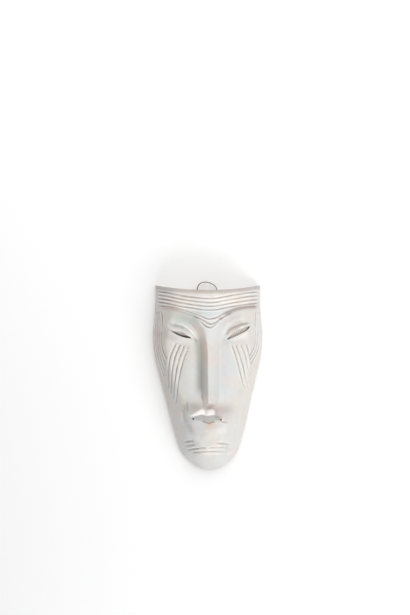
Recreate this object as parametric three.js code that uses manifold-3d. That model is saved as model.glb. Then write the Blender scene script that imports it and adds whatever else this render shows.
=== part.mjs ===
// A glazed stoneware wall mask: a long narrow face, hollow and open at the back, with incised stripes,
// slit eyes and a wire loop at the top. Millimetres, +Z up. The mask lies on its back rim with the face up,
// the forehead towards +Y and the chin towards -Y. The origin is under the middle of its bounding box.

import * as THREE from "three";
import { toCreasedNormals } from "three/addons/utils/BufferGeometryUtils.js";
import Module from "manifold-3d";

// Overall sizes of the mask
const CHIN_Y = -127.4; // chin tip
const TOP_Y = 115.8; // middle of the concave top edge
const CORNER_RISE = 6.6; // the top corners stand this much above the middle of the top edge
const EDGE_HEIGHT = 7; // height of the outer edge above the back plane
const WALL = 6.5; // wall thickness at the back rim
const EDGE_ROUND = 5; // the top edge is rounded off over this width
const EDGE_DROP = 2.2; // and comes down by this much
const LEAN = 2.0; // the handmade chin sits this far to the right of the forehead

// Half width of the outline from the forehead corners down to the chin, [y, half width]
const HALF_WIDTHS = [
  [126, 70.9],
  [102, 70.2],
  [78, 72.2],
  [52, 73.8],
  [29, 71.8],
  [-4, 64.2],
  [-36, 56.2],
  [-61, 50.7],
  [-85, 43.8],
  [CHIN_Y, 31.0],
];
const CHIN_ARC_Y = -94; // below this the outline rounds off to the chin tip
const CHIN_ROUND = 2.3; // 2 is an elliptical chin, more is a fuller one

// Cross-section of the plain form: sloping sides meet a crowned front in a soft shoulder, [y, value]
const CROWN_HEIGHTS = [
  [126, 35],
  [TOP_Y, 37],
  [92, 42],
  [60, 40],
  [20, 37],
  [-30, 36],
  [-60, 37],
];
const CROWN_FALLS = [
  [126, 9],
  [90, 9],
  [60, 9],
  [45, 12],
  [-20, 13],
  [-90, 13],
];
const SIDE_SLOPES = [
  [126, 1.75],
  [80, 1.7],
  [45, 1.75],
  [0, 1.45],
  [-20, 1.35],
  [-90, 1.3],
];
const SHOULDERS = [
  [126, 30],
  [90, 26],
  [60, 14],
  [45, 11],
  [0, 10],
  [-20, 9],
  [-60, 11],
  [-90, 16],
];
const CROWN_ROUND = 0.3; // the sides round over at the middle instead of meeting in an edge
const CHIN_FALL_Y = -60; // below this the form comes down to the chin
const CORNER_BEND = 2.2; // how late the top edge rises to its corners, and the chin falls

// The incised forehead stripes and the brow line, [place across as a share of the half width, y]
const FIRST_STRIPE = [
  [-0.92, 113.6],
  [-0.43, 107.2],
  [0.06, 104.1],
  [0.49, 108.9],
  [0.92, 113.3],
];
const LAST_STRIPE = [
  [-0.92, 99.4],
  [-0.43, 92.6],
  [0.06, 88.5],
  [0.49, 93.7],
  [0.92, 98.0],
];
const BROW_LINE = [
  [-0.98, 94.2],
  [-0.68, 92.6],
  [-0.43, 87.6],
  [-0.2, 82.1],
  [0.05, 76.5],
  [0.2, 80.0],
  [0.32, 84.6],
  [0.6, 92.0],
  [0.98, 93.2],
];
const STRIPES = 4;
const STRIPE_REACH = 0.97; // the stripes run this far across, as a share of the half width
const BROW_REACH = 0.92;
const STRIPE_POINTS = 12;

// Fine grooves are V cuts of these sizes
const GROOVE_DEPTH = 0.9;
const GROOVE_HALF_WIDTH = 0.9;

// Sets of incised lines. Each set runs evenly from its first line to its last, [x, y] points.
const LINE_SETS = [
  {
    name: "left cheek",
    count: 4,
    first: [[-42.3, 45.7], [-50.2, 27.0], [-53.2, 8.0], [-53.0, -18.4]],
    last: [[-25.6, 41.1], [-33.8, 19.0], [-39.6, -7.0], [-43.4, -38.1]],
  },
  {
    name: "right cheek, long",
    count: 2,
    first: [[31.3, 43.8], [38.3, 23.8], [42.9, 5.2], [50.4, -17.0]],
    last: [[36.6, 44.0], [43.7, 23.8], [49.3, 5.2], [55.0, -17.5]],
  },
  {
    name: "right cheek, short",
    count: 2,
    first: [[43.0, 44.2], [47.8, 33.1], [51.0, 23.8], [56.2, 3.0]],
    last: [[50.4, 44.5], [54.2, 33.1], [57.0, 23.8], [58.3, 15.0]],
  },
  {
    name: "left side",
    count: 4,
    first: [[-70.0, 86.0], [-71.0, 62.0], [-70.6, 42.0], [-66.5, 22.5], [-58.5, -1.0]],
    last: [[-62.7, 88.0], [-61.9, 64.7], [-63.2, 47.0], [-60.1, 32.4], [-55.3, 21.7]],
  },
  {
    name: "right side",
    count: 3,
    first: [[64.8, 88.0], [64.9, 64.0], [64.6, 50.0], [61.6, 37.8], [55.5, 25.5]],
    last: [[70.7, 86.0], [71.3, 58.0], [70.2, 43.0], [65.5, 28.5], [57.5, 15.5]],
  },
  {
    name: "brow chevrons",
    count: 2,
    first: [[-21.1, 80.9], [-8.0, 75.7], [4.0, 70.3], [15.0, 75.4], [31.9, 85.5]],
    last: [[-12.0, 75.0], [-4.6, 68.6], [2.7, 65.9], [8.5, 68.4], [17.0, 75.6]],
  },
  {
    name: "chin, left",
    count: 2,
    first: [[-31.5, -89.3], [-26.1, -87.4], [-18.5, -85.7]],
    last: [[-30.0, -94.9], [-24.5, -93.0], [-18.0, -91.0]],
  },
  {
    name: "chin, right",
    count: 2,
    first: [[10.5, -88.3], [19.5, -89.4], [28.5, -91.8]],
    last: [[0.0, -94.9], [13.0, -94.6], [26.5, -95.0]],
  },
  {
    name: "under the chin",
    count: 2,
    first: [[-28.0, -100.2], [-14.0, -96.3], [-2.0, -94.6]],
    last: [[-21.5, -103.2], [0.0, -100.3], [23.5, -101.4]],
  },
];

// Eyes: the slit runs from the outer to the inner corner and is widest at a share of its length. The lid
// above it is pared back at a slant, as wide as the cut at the surface and down to the given depth.
const EYES = [
  {
    slit: [[-50.1, 61.9], [-44.5, 58.6], [-36.5, 55.2], [-29.5, 53.2], [-22.4, 51.7]],
    open: 0.7,
    widest: 0.66,
    cut: 4.2,
    depth: 3,
  },
  {
    slit: [[55.5, 67.0], [52.6, 63.4], [49.0, 60.6], [42.0, 56.9], [34.0, 53.2], [25.8, 50.3]],
    open: 0.45,
    widest: 0.5,
    cut: 6.0,
    depth: 3.4,
  },
];
const EYE_MOUND = { halfLength: 21, halfHeight: 11, height: 5, edge: 1.5 };
const EYE_STEPS = 8;
const SLIT_TIP = 0.03; // the slit stops this share of its length before it closes
const EYE_CUTTER_ABOVE = 3; // the eye cutter stands this much above the front
const EYE_CUTTER_BELOW = 30; // and reaches this far below it, into the hollow

// The brow stands over the sockets by a ledge. Its foot lies a little below the brow line, and lower down
// it fades out again. Across, it fades towards the nose and towards the sides.
const LEDGE = { height: 4, top: -0.5, foot: 3.4, fadeFrom: 8, fadeTo: 34 };
const LEDGE_NOSE = { x: 3, near: 8, far: 26, share: 0.12 };
const LEDGE_SIDES = { from: 0.82, to: 0.94 };
const SOCKETS = [
  { x: -27, y: 69, wide: 26, long: 19, height: 7.5 },
  { x: 31, y: 72, wide: 26, long: 19, height: 7 },
];

// Nose: a wedge with a sharp crest, [y, crest's place across], [y, height] and [y, width of one flank]
const NOSE_CREST = [
  [82, -16],
  [74, -8.5],
  [66, -5],
  [58, -2.9],
  [48, -1.3],
  [34, -0.3],
  [0, 0.2],
  [-30, 0.6],
  [-41, -0.6],
];
const NOSE_RIDGE = [
  [84, 0.3],
  [65, 5],
  [36, 11],
  [-3, 16],
  [-22, 18.6],
  [-34, 17],
];
const NOSE_LEFT = [
  [80, 24],
  [65, 14],
  [50, 10.4],
  [36, 9.4],
  [-24, 9.4],
  [-34, 7],
  [-41, 4],
];
const NOSE_RIGHT = [
  [80, 27],
  [65, 23],
  [50, 18],
  [36, 15.5],
  [-22, 14.8],
  [-40, 11],
];
const NOSE_TIP_Y = -32.5;
const NOSE_END_Y = -39.8;
const RIDGE_ROUND = 0.08; // how rounded the crest is, as a share of the flank
const RIGHT_FLANK_FULLNESS = 1.3; // above 1 the flank bulges

// Mouth: the upper lip rises from its top line to a ridge and hangs over the mouth line, [x, y]
const LIP_TOP = [
  [-26, -52],
  [-15.8, -45.4],
  [-11.2, -42],
  [-6.7, -40.6],
  [-3.6, -43.6],
  [-0.6, -41.8],
  [7, -41.4],
  [12, -47.4],
  [19, -54],
];
const LIP_RIDGE = [
  [-26, -53.2],
  [-18, -50.9],
  [-6.7, -48],
  [-3.4, -50.2],
  [-1.5, -49.9],
  [9.3, -48.9],
  [16, -52.6],
  [20, -55],
];
const MOUTH_LINE = [
  [-26, -55.2],
  [-18, -57],
  [-10, -58.4],
  [-3, -59.8],
  [2, -60.9],
  [7, -60],
  [12, -58.9],
  [19, -57.2],
];
const LIP_HEIGHT = 6.5;
const LIP_SWELL = 0.25; // how much the facet of the lip bulges
const LIP_HOLLOW = 1.8; // above 1 the underside of the lip is hollow
const LIP_ENDS = { leftCorner: -27, leftFull: -20, rightFull: 15, rightCorner: 22 };
const LIP_NOTCH = { x: -3.3, wide: 2.2, share: 0.3 };
const MUZZLE = { x: 1.5, y: -53, wide: 35, long: 25, height: 4.5, edge: 2.5 };
const SOFT_MOUNDS = [
  { x: 3.5, y: -66.5, wide: 17, long: 6, height: 1.4 },
  { x: -1.5, y: -78, wide: 10, long: 6, height: 1 },
  { x: -27.5, y: -74, wide: 6, long: 6, height: 1 },
  { x: 23, y: -78, wide: 9, long: 6, height: 0.9 },
];
const CORNER_HOLES = [
  [-19.6, -55.2],
  [17.2, -56.4],
];
const CORNER_HOLE_RADIUS = 1.3;
const CORNER_HOLE_TOP = 56; // the cutter starts at this height
const CORNER_HOLE_LENGTH = 40;

// Mounds and soft lines fall off like a bell
const MOUND_FALL = 1.4;
const LINE_REACH = 2.6; // widths from a soft line to where it ends
const LINE_SPACING = 2;

// Soft ridges and creases pressed into the clay, below zero for a crease
const SOFT_LINES = [
  { name: "left of the nose", points: [[-15, 54], [-11, 30], [-10.5, 0], [-10.5, -30]], wide: 8, height: -2 },
  { name: "right of the nose", points: [[20, 50], [16.5, 30], [16, 0], [17, -28]], wide: 8, height: -1.6 },
  {
    name: "left fold",
    points: [
      [-44, 71.9],
      [-35.4, 69.8],
      [-30, 66.7],
      [-23.4, 61.8],
      [-18.6, 56.8],
      [-15.6, 51.6],
      [-14.6, 45.6],
    ],
    wide: 2.2,
    height: 2.6,
  },
  { name: "left jaw rib", points: [[-37.5, -46], [-36.6, -58], [-33.5, -66], [-29, -75]], wide: 2, height: 1.8 },
  {
    name: "left jaw crease",
    points: [[-31.5, -36], [-32.5, -50], [-30.5, -62], [-24, -72], [-19, -77]],
    wide: 2.8,
    height: -1.8,
  },
];

// Wire loop: an arch of stiff wire, bent by hand, through two holes in the top wall, ends turned up inside
const WIRE_RADIUS = 0.7;
const WIRE_CLEARANCE = 0.35;
const LOOP_LEGS = [-14.5, 12.1]; // the legs' places across
const LOOP_Z = 9;
const LOOP_LEG_END_Y = 104.5;
const LOOP_TURN_UP = 8;
const LOOP_BEND = 3; // where the legs turn up inside
const LOOP_ARCH = [
  [-13.8, 120.1],
  [-12.0, 123.2],
  [-9.6, 125.4],
  [-6.5, 126.4],
  [-3.2, 126.7],
  [0.2, 126.4],
  [3.6, 125.3],
  [6.8, 123.6],
  [9.7, 121.3],
  [11.6, 118.8],
];
const LOOP_STEPS = 32;
const LOOP_CURVE_SEGMENTS = 4;
const HOLE_OUTSIDE = 5; // the wire holes' cutters start this far above the middle of the top edge
const HOLE_INSIDE = 3; // and end this far inside the wall

// The hollow behind the face
const INNER_EDGE = 3; // height where the hollow starts at the rim
const INNER_SHARE = 0.88; // the hollow is this share of the front's height
const INNER_NOSE = 0.5; // the hollow goes this far up into the nose
const INNER_NOSE_WIDE = 8;

// Mesh density
const COLUMNS_NOSE = 14;
const COLUMNS_SIDE = 8;
const INNER_COLUMNS = 12;
const INNER_ROWS = 16;
const NOSE_ZONE = 25; // half width of the middle zone whose columns run straight down the nose
const NOSE_ZONE_SHARE = 0.5; // the zone is never more than this share of the half width
const SIDE_SPACING = 0.85; // below 1 the side columns close up towards the edge
const INNER_SPACING = 1.15;
const GROOVE_STEP = 9;
const CLAY_ABOVE = 1.0; // groove cutters stand this much above the surface they cut
const GROOVE_END_RISE = 0.3; // at its ends the cutter's edge lies this much above the surface
const NORMAL_STEP = 0.5;
const HOLE_SIDES = 8;
const OUTLINE_PASSES = 4; // passes in which a point settles on its row and its column
const LEAST_WIDTH = 0.001; // keeps the shares across finite at the chin tip
const RELIEF_EDGE = 0.8; // beyond this share of the half width the face's relief fades out
const CREASE_ANGLE = 0.6; // edges sharper than this, in radians, are shown as edges

const clamp01 = (value) => Math.min(1, Math.max(0, value));

function smooth(from, to, value) {
  const t = clamp01((value - from) / (to - from));
  return t * t * (3 - 2 * t);
}

// A smooth curve through [place, value] points, level with its end points beyond them
function curveThrough(points) {
  const sorted = [...points].sort((a, b) => a[0] - b[0]);
  const last = sorted.length - 1;
  const slopes = sorted.map((point, i) => {
    const before = sorted[Math.max(0, i - 1)];
    const after = sorted[Math.min(last, i + 1)];
    return (after[1] - before[1]) / (after[0] - before[0]);
  });
  return (place) => {
    if (place <= sorted[0][0]) return sorted[0][1];
    if (place >= sorted[last][0]) return sorted[last][1];
    const i = sorted.findIndex((point) => point[0] > place) - 1;
    const span = sorted[i + 1][0] - sorted[i][0];
    const t = (place - sorted[i][0]) / span;
    const [a, b] = [sorted[i][1], sorted[i + 1][1]];
    const bend = t * (1 - t) * (slopes[i] * span * (1 - t) - slopes[i + 1] * span * t);
    return a + (b - a) * t * t * (3 - 2 * t) + bend;
  };
}

const taperWidth = curveThrough(HALF_WIDTHS);
const crownHeight = curveThrough(CROWN_HEIGHTS);
const crownFall = curveThrough(CROWN_FALLS);
const sideSlope = curveThrough(SIDE_SLOPES);
const shoulder = curveThrough(SHOULDERS);
const firstStripe = curveThrough(FIRST_STRIPE);
const lastStripe = curveThrough(LAST_STRIPE);
const browLine = curveThrough(BROW_LINE);
const noseCrest = curveThrough(NOSE_CREST);
const noseRidge = curveThrough(NOSE_RIDGE);
const noseLeft = curveThrough(NOSE_LEFT);
const noseRight = curveThrough(NOSE_RIGHT);
const lipTop = curveThrough(LIP_TOP);
const lipRidge = curveThrough(LIP_RIDGE);
const mouthLine = curveThrough(MOUTH_LINE);

const middleX = (y) => LEAN * smooth(40, -120, y);
const topEdge = (across) => TOP_Y + CORNER_RISE * Math.abs(across) ** CORNER_BEND;

function chinRounding(y) {
  const t = clamp01((CHIN_ARC_Y - y) / (CHIN_ARC_Y - CHIN_Y));
  return Math.sqrt(1 - t ** CHIN_ROUND);
}

const halfWidth = (y) => taperWidth(y) * chinRounding(y);

// How far out from the middle a place is, from 0 to 1, rounded over the middle line
function outward(across) {
  const rounded = (value) => Math.sqrt(value * value + CROWN_ROUND ** 2) - CROWN_ROUND;
  return clamp01(rounded(across) / rounded(1));
}

// The plain hollow form: an arch across the face, coming down to the edge at the sides and the chin
function arch(across, y) {
  const fall = clamp01((CHIN_FALL_Y - y) / (CHIN_FALL_Y - CHIN_Y));
  const along = Math.cos((Math.PI / 2) * fall ** CORNER_BEND);
  const side = sideSlope(y) * taperWidth(y) * (1 - outward(across));
  const crown = crownHeight(y) - crownFall(y) * across ** 2;
  const blend = side > 0 ? clamp01(1 - Math.abs(side - crown) / shoulder(y)) : 0;
  return along * (Math.min(side, crown) - (blend ** 2 * shoulder(y)) / 4);
}

// A rounded mound of the given size
function mound(x, y, { x: middle, y: centre, wide, long, height }) {
  const reach = ((x - middle) / wide) ** 2 + ((y - centre) / long) ** 2;
  return height * Math.exp(-reach * MOUND_FALL);
}

// A soft ridge or crease along a smooth line, fading at its ends
function softLine({ points, wide, height }) {
  const curve = new THREE.SplineCurve(points.map(([x, y]) => new THREE.Vector2(x, y)));
  const line = curve.getSpacedPoints(Math.round(curve.getLength() / LINE_SPACING));
  const length = curve.getLength();
  const reach = wide * LINE_REACH;
  return (x, y) => {
    let nearest = reach;
    let along = 0;
    line.forEach((point, i) => {
      const distance = Math.hypot(point.x - x, point.y - y);
      if (distance < nearest) {
        nearest = distance;
        along = (length * i) / (line.length - 1);
      }
    });
    if (nearest === reach) return 0;
    const ends = smooth(0, wide * 2, along) * smooth(0, wide * 2, length - along);
    return height * Math.exp(-((nearest / wide) ** 2)) * ends;
  };
}

const softLines = SOFT_LINES.map(softLine);
const addUp = (items, value) => items.reduce((sum, item) => sum + value(item), 0);
const sockets = (x, y) => addUp(SOCKETS, (hollow) => mound(x, y, hollow));

// The brow stands proud of the sockets by a ledge that fades out at the nose and at the sides
function browLedge(x, y) {
  const across = x / halfWidth(y);
  const below = browLine(across) - y;
  const step = smooth(LEDGE.top, LEDGE.foot, below) * smooth(LEDGE.fadeTo, LEDGE.fadeFrom, below);
  const sideFade = smooth(LEDGE_SIDES.to, LEDGE_SIDES.from, Math.abs(across));
  const offNose = smooth(LEDGE_NOSE.near, LEDGE_NOSE.far, Math.abs(x - LEDGE_NOSE.x));
  return LEDGE.height * step * sideFade * (LEDGE_NOSE.share + (1 - LEDGE_NOSE.share) * offNose);
}

function eyeMound(x, y, eye) {
  const [ax, ay] = eye.slit[0];
  const [bx, by] = eye.slit.at(-1);
  const length = Math.hypot(bx - ax, by - ay);
  const along = ((x - (ax + bx) / 2) * (bx - ax) + (y - (ay + by) / 2) * (by - ay)) / length;
  const side = ((x - (ax + bx) / 2) * (by - ay) - (y - (ay + by) / 2) * (bx - ax)) / length;
  const reach = (along / EYE_MOUND.halfLength) ** 2 + (side / EYE_MOUND.halfHeight) ** 2;
  return EYE_MOUND.height * Math.exp(-(reach ** EYE_MOUND.edge));
}

function nose(x, y) {
  const offset = x - noseCrest(y);
  const flank = offset < 0 ? noseLeft(y) : noseRight(y) - noseCrest(y);
  const t = Math.abs(offset) / flank;
  const rounded = (value) => Math.sqrt(value * value + RIDGE_ROUND ** 2) - RIDGE_ROUND;
  const slope = clamp01(1 - rounded(t) / rounded(1));
  const bulge = offset < 0 ? slope : 1 - (1 - slope) ** RIGHT_FLANK_FULLNESS;
  return noseRidge(y) * bulge * smooth(NOSE_END_Y, NOSE_TIP_Y, y);
}

// The upper lip: a facet rising from its top line to the ridge, and an underside down to the mouth line
function mouth(x, y) {
  const rise = clamp01((lipTop(x) - y) / (lipTop(x) - lipRidge(x)));
  const fall = clamp01((lipRidge(x) - y) / (lipRidge(x) - mouthLine(x)));
  const leftEnd = smooth(LIP_ENDS.leftCorner, LIP_ENDS.leftFull, x);
  const rightEnd = smooth(LIP_ENDS.rightCorner, LIP_ENDS.rightFull, x);
  const facet = rise * (1 + LIP_SWELL * (1 - rise));
  const notch = 1 - LIP_NOTCH.share * Math.exp(-(((x - LIP_NOTCH.x) / LIP_NOTCH.wide) ** 2));
  return LIP_HEIGHT * facet * (1 - fall) ** LIP_HOLLOW * leftEnd * rightEnd * notch;
}

function muzzle(x, y) {
  const reach = ((x - MUZZLE.x) / MUZZLE.wide) ** 2 + ((y - MUZZLE.y) / MUZZLE.long) ** 2;
  return MUZZLE.height * Math.exp(-(reach ** MUZZLE.edge));
}

const topRounding = (across, y) => EDGE_DROP * clamp01(1 - (topEdge(across) - y) / EDGE_ROUND) ** 2;

// Height of the front surface above the back plane
function front(x, y) {
  const across = (x - middleX(y)) / Math.max(halfWidth(y), LEAST_WIDTH);
  const inside = smooth(1, RELIEF_EDGE, Math.abs(across));
  let z = EDGE_HEIGHT + arch(across, y) - topRounding(across, y) + nose(x, y) + mouth(x, y);
  z += addUp(SOFT_MOUNDS, (lump) => mound(x, y, lump));
  z += inside * (muzzle(x, y) - sockets(x, y) - browLedge(x, y));
  z += inside * addUp(EYES, (eye) => eyeMound(x, y, eye));
  return z + inside * addUp(softLines, (line) => line(x, y));
}

// Rows run from the top edge down. The forehead rows lie between the stripes, the lower ones go level.
const ROW_CURVES = [
  { y: topEdge, steps: 2 },
  { y: (across) => topEdge(across) - EDGE_ROUND, steps: 2 },
  { y: lastStripe, steps: 1 },
  { y: browLine, steps: 1 },
  { y: (across) => browLine(across) - LEDGE.foot, steps: 4 },
  { y: () => 64, steps: 6 },
  { y: () => 44, steps: 9 },
  { y: () => -30, steps: 4 },
  { y: () => -40, steps: 9 },
  { y: () => -70, steps: 4 },
  { y: () => CHIN_ARC_Y, steps: 0 },
];
const CHIN_ROWS = 7;

function rowFunctions() {
  const rows = [];
  for (let k = 0; k < ROW_CURVES.length - 1; k += 1) {
    const [above, below] = [ROW_CURVES[k], ROW_CURVES[k + 1]];
    for (let i = 0; i < above.steps; i += 1) {
      const share = i / above.steps;
      rows.push((across) => above.y(across) * (1 - share) + below.y(across) * share);
    }
  }
  for (let i = 0; i <= CHIN_ROWS; i += 1) {
    const turn = Math.sin((Math.PI / 2) * (i / CHIN_ROWS));
    rows.push(() => CHIN_ARC_Y + (CHIN_Y - CHIN_ARC_Y) * turn);
  }
  return rows;
}

// Columns run straight down the nose in the middle and follow the outline at the sides
function columnX(column, y, width) {
  const middle = Math.min(NOSE_ZONE, width * NOSE_ZONE_SHARE);
  const half = COLUMNS_NOSE / 2;
  const step = column - half - COLUMNS_SIDE;
  if (Math.abs(step) <= half) return middleX(y) + (middle * step) / half;
  const out = (Math.abs(step) - half) / COLUMNS_SIDE;
  const share = Math.sin((Math.PI / 2) * out ** SIDE_SPACING);
  return middleX(y) + Math.sign(step) * (middle + (width - middle) * share);
}

// Collects triangles that share their corner points
class Surface {
  constructor() {
    this.points = [];
    this.faces = [];
    this.known = new Map();
  }

  point(x, y, z) {
    const key = [x, y, z].map((value) => Math.round(value * 1000)).join(",");
    if (!this.known.has(key)) {
      this.known.set(key, this.points.length);
      this.points.push([x, y, z]);
    }
    return this.known.get(key);
  }

  triangle(a, b, c) {
    if (a !== b && b !== c && c !== a) this.faces.push([a, b, c]);
  }

  quad(a, b, c, d) {
    this.triangle(a, b, c);
    this.triangle(a, c, d);
  }

  // A grid of point numbers, rows from the top down and columns from left to right
  grid(rows, facingUp) {
    for (let j = 0; j < rows.length - 1; j += 1) {
      for (let i = 0; i < rows[j].length - 1; i += 1) {
        const corners = [rows[j][i], rows[j + 1][i], rows[j + 1][i + 1], rows[j][i + 1]];
        this.quad(...(facingUp ? corners : corners.reverse()));
      }
    }
  }

  // A wall from a closed loop of points straight down to the back plane. It gives the loop at its foot.
  wall(loop, facingOut) {
    const foot = loop.map((index) => this.point(this.points[index][0], this.points[index][1], 0));
    loop.forEach((top, i) => {
      const next = (i + 1) % loop.length;
      const corners = [top, loop[next], foot[next], foot[i]];
      this.quad(...(facingOut ? corners : corners.reverse()));
    });
    return foot;
  }

  solid(wasm) {
    const volume = this.faces.reduce((sum, face) => {
      const [a, b, c] = face.map((index) => new THREE.Vector3(...this.points[index]));
      return sum + a.dot(b.cross(c));
    }, 0);
    const faces = volume < 0 ? this.faces.map(([a, b, c]) => [a, c, b]) : this.faces;
    const mesh = new wasm.Mesh({
      numProp: 3,
      vertProperties: new Float32Array(this.points.flat()),
      triVerts: new Uint32Array(faces.flat()),
    });
    return new wasm.Manifold(mesh);
  }
}

// The loop of boundary points of a grid: along the top row, down the right side, up the left side
function boundary(rows) {
  const last = rows[0].length - 1;
  const right = rows.slice(1).map((row) => row[last]);
  const left = rows.slice(1, -1).map((row) => row[0]).reverse();
  return [...rows[0], ...right, ...left];
}

function frontRows(surface) {
  const columns = COLUMNS_NOSE + 2 * COLUMNS_SIDE;
  return rowFunctions().map((row) => {
    const points = [];
    for (let i = 0; i <= columns; i += 1) {
      let y = row(0);
      let x = 0;
      for (let pass = 0; pass < OUTLINE_PASSES; pass += 1) {
        x = columnX(i, y, halfWidth(y));
        y = row((x - middleX(y)) / Math.max(halfWidth(y), LEAST_WIDTH));
      }
      points.push(surface.point(x, y, front(x, y)));
    }
    return points;
  });
}

// The hollow: the plain form with its sockets, a wall thickness inside the front
function hollowRows(surface) {
  const rows = [];
  for (let j = 0; j <= INNER_ROWS; j += 1) {
    const down = Math.sin((Math.PI / 2) * (j / INNER_ROWS) ** INNER_SPACING);
    const points = [];
    for (let i = 0; i <= INNER_COLUMNS; i += 1) {
      const across = Math.sin((Math.PI / 2) * ((2 * i) / INNER_COLUMNS - 1));
      const top = topEdge(across);
      const outerY = top + (CHIN_Y - top) * down;
      const y = top - WALL + (CHIN_Y + WALL - (top - WALL)) * down;
      const width = (taperWidth(outerY) - WALL) * chinRounding(outerY);
      const outerX = middleX(outerY) + across * halfWidth(outerY);
      const x = middleX(y) + across * width;
      const noseHollow = INNER_NOSE * noseRidge(outerY) * smooth(NOSE_END_Y, NOSE_TIP_Y, outerY);
      const form = arch(across, outerY) - sockets(outerX, outerY) * (1 - across ** 2);
      const narrow = Math.exp(-(((x - middleX(y)) / INNER_NOSE_WIDE) ** 2));
      points.push(surface.point(x, y, INNER_EDGE + INNER_SHARE * form + noseHollow * narrow));
    }
    rows.push(points);
  }
  return rows;
}

function rim(surface, outer, inner) {
  const flat = (loop) => loop.map((index) => new THREE.Vector2(...surface.points[index]));
  const corners = [...outer, ...inner];
  for (const [a, b, c] of THREE.ShapeUtils.triangulateShape(flat(outer), [flat(inner)])) {
    const [pa, pb, pc] = flat([corners[a], corners[b], corners[c]]);
    const turn = (pb.x - pa.x) * (pc.y - pa.y) - (pb.y - pa.y) * (pc.x - pa.x);
    if (turn < 0) surface.triangle(corners[a], corners[b], corners[c]);
    else surface.triangle(corners[a], corners[c], corners[b]);
  }
}

function shell(wasm) {
  const surface = new Surface();
  const outside = frontRows(surface);
  const inside = hollowRows(surface);
  surface.grid(outside, true);
  surface.grid(inside, false);
  const outerFoot = surface.wall(boundary(outside), true);
  const innerFoot = surface.wall(boundary(inside), false);
  rim(surface, outerFoot, innerFoot);
  return surface.solid(wasm);
}

// A solid that runs through a row of sections, each with the same number of points
function loft(wasm, sections) {
  const surface = new Surface();
  const rings = sections.map((section) => section.map((p) => surface.point(p.x, p.y, p.z)));
  const count = rings[0].length;
  for (let j = 0; j < rings.length - 1; j += 1) {
    for (let i = 0; i < count; i += 1) {
      const next = (i + 1) % count;
      surface.quad(rings[j][i], rings[j][next], rings[j + 1][next], rings[j + 1][i]);
    }
  }
  for (let i = 1; i < count - 1; i += 1) {
    surface.triangle(rings[0][0], rings[0][i + 1], rings[0][i]);
    surface.triangle(rings.at(-1)[0], rings.at(-1)[i], rings.at(-1)[i + 1]);
  }
  return surface.solid(wasm);
}

function normalAt(x, y) {
  const slopeX = (front(x + NORMAL_STEP, y) - front(x - NORMAL_STEP, y)) / (2 * NORMAL_STEP);
  const slopeY = (front(x, y + NORMAL_STEP) - front(x, y - NORMAL_STEP)) / (2 * NORMAL_STEP);
  return new THREE.Vector3(-slopeX, -slopeY, 1).normalize();
}

// A V groove cut along a line of [x, y] points drawn on the front
function grooveAlong(wasm, line) {
  const curve = new THREE.SplineCurve(line.map(([x, y]) => new THREE.Vector2(x, y)));
  const steps = Math.max(3, Math.round(curve.getLength() / GROOVE_STEP));
  const sections = [];
  for (let i = 0; i <= steps; i += 1) {
    const { x, y } = curve.getPointAt(i / steps);
    const direction = curve.getTangentAt(i / steps);
    const on = new THREE.Vector3(x, y, front(x, y));
    const normal = normalAt(x, y);
    const side = new THREE.Vector3(direction.x, direction.y, 0).cross(normal).normalize();
    const half = (GROOVE_HALF_WIDTH * (CLAY_ABOVE + GROOVE_DEPTH)) / GROOVE_DEPTH;
    const depth = i === 0 || i === steps ? -GROOVE_END_RISE : GROOVE_DEPTH;
    sections.push([
      on.clone().addScaledVector(normal, CLAY_ABOVE).addScaledVector(side, half),
      on.clone().addScaledVector(normal, CLAY_ABOVE).addScaledVector(side, -half),
      on.clone().addScaledVector(normal, -depth),
    ]);
  }
  return loft(wasm, sections);
}

// The forehead lines, given as y for each share of the half width, become [x, y] points
function foreheadLine(curve, reach) {
  return Array.from({ length: STRIPE_POINTS + 1 }, (_, i) => {
    const across = reach * ((2 * i) / STRIPE_POINTS - 1);
    const y = curve(across);
    return [middleX(y) + across * halfWidth(y), y];
  });
}

function incisedLines() {
  const lines = [];
  for (let k = 0; k < STRIPES; k += 1) {
    const share = k / (STRIPES - 1);
    const stripe = (across) => firstStripe(across) * (1 - share) + lastStripe(across) * share;
    lines.push(foreheadLine(stripe, STRIPE_REACH));
  }
  lines.push(foreheadLine(browLine, BROW_REACH));
  for (const { count, first, last } of LINE_SETS) {
    for (let k = 0; k < count; k += 1) {
      const share = k / (count - 1);
      lines.push(first.map(([x, y], i) => [
        x + (last[i][0] - x) * share,
        y + (last[i][1] - y) * share,
      ]));
    }
  }
  return lines;
}

// The cut of one eye: a slit right through the wall, and the lid above it pared back at a slant
function eyeCut(wasm, { slit, open, widest, cut, depth }) {
  const curve = new THREE.SplineCurve(slit.map(([x, y]) => new THREE.Vector2(x, y)));
  const slope = (cut - open) / depth;
  const skew = Math.log(1 / 2) / Math.log(widest);
  const sections = [];
  for (let i = 0; i <= EYE_STEPS; i += 1) {
    const share = SLIT_TIP + (1 - 2 * SLIT_TIP) * (i / EYE_STEPS);
    const { x, y } = curve.getPointAt(share);
    const direction = curve.getTangentAt(share);
    const up = new THREE.Vector3(-direction.y, direction.x, 0);
    if (up.y < 0) up.negate();
    const width = Math.sqrt(Math.sin(Math.PI * share ** skew));
    const z = front(x, y);
    const at = (offset, rise) => new THREE.Vector3(x, y, z + rise).addScaledVector(up, offset * width);
    sections.push([
      at(-open, EYE_CUTTER_ABOVE),
      at(cut + slope * EYE_CUTTER_ABOVE, EYE_CUTTER_ABOVE),
      at(open, -depth),
      at(open, -EYE_CUTTER_BELOW),
      at(-open, -EYE_CUTTER_BELOW),
    ]);
  }
  return loft(wasm, sections);
}

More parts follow.
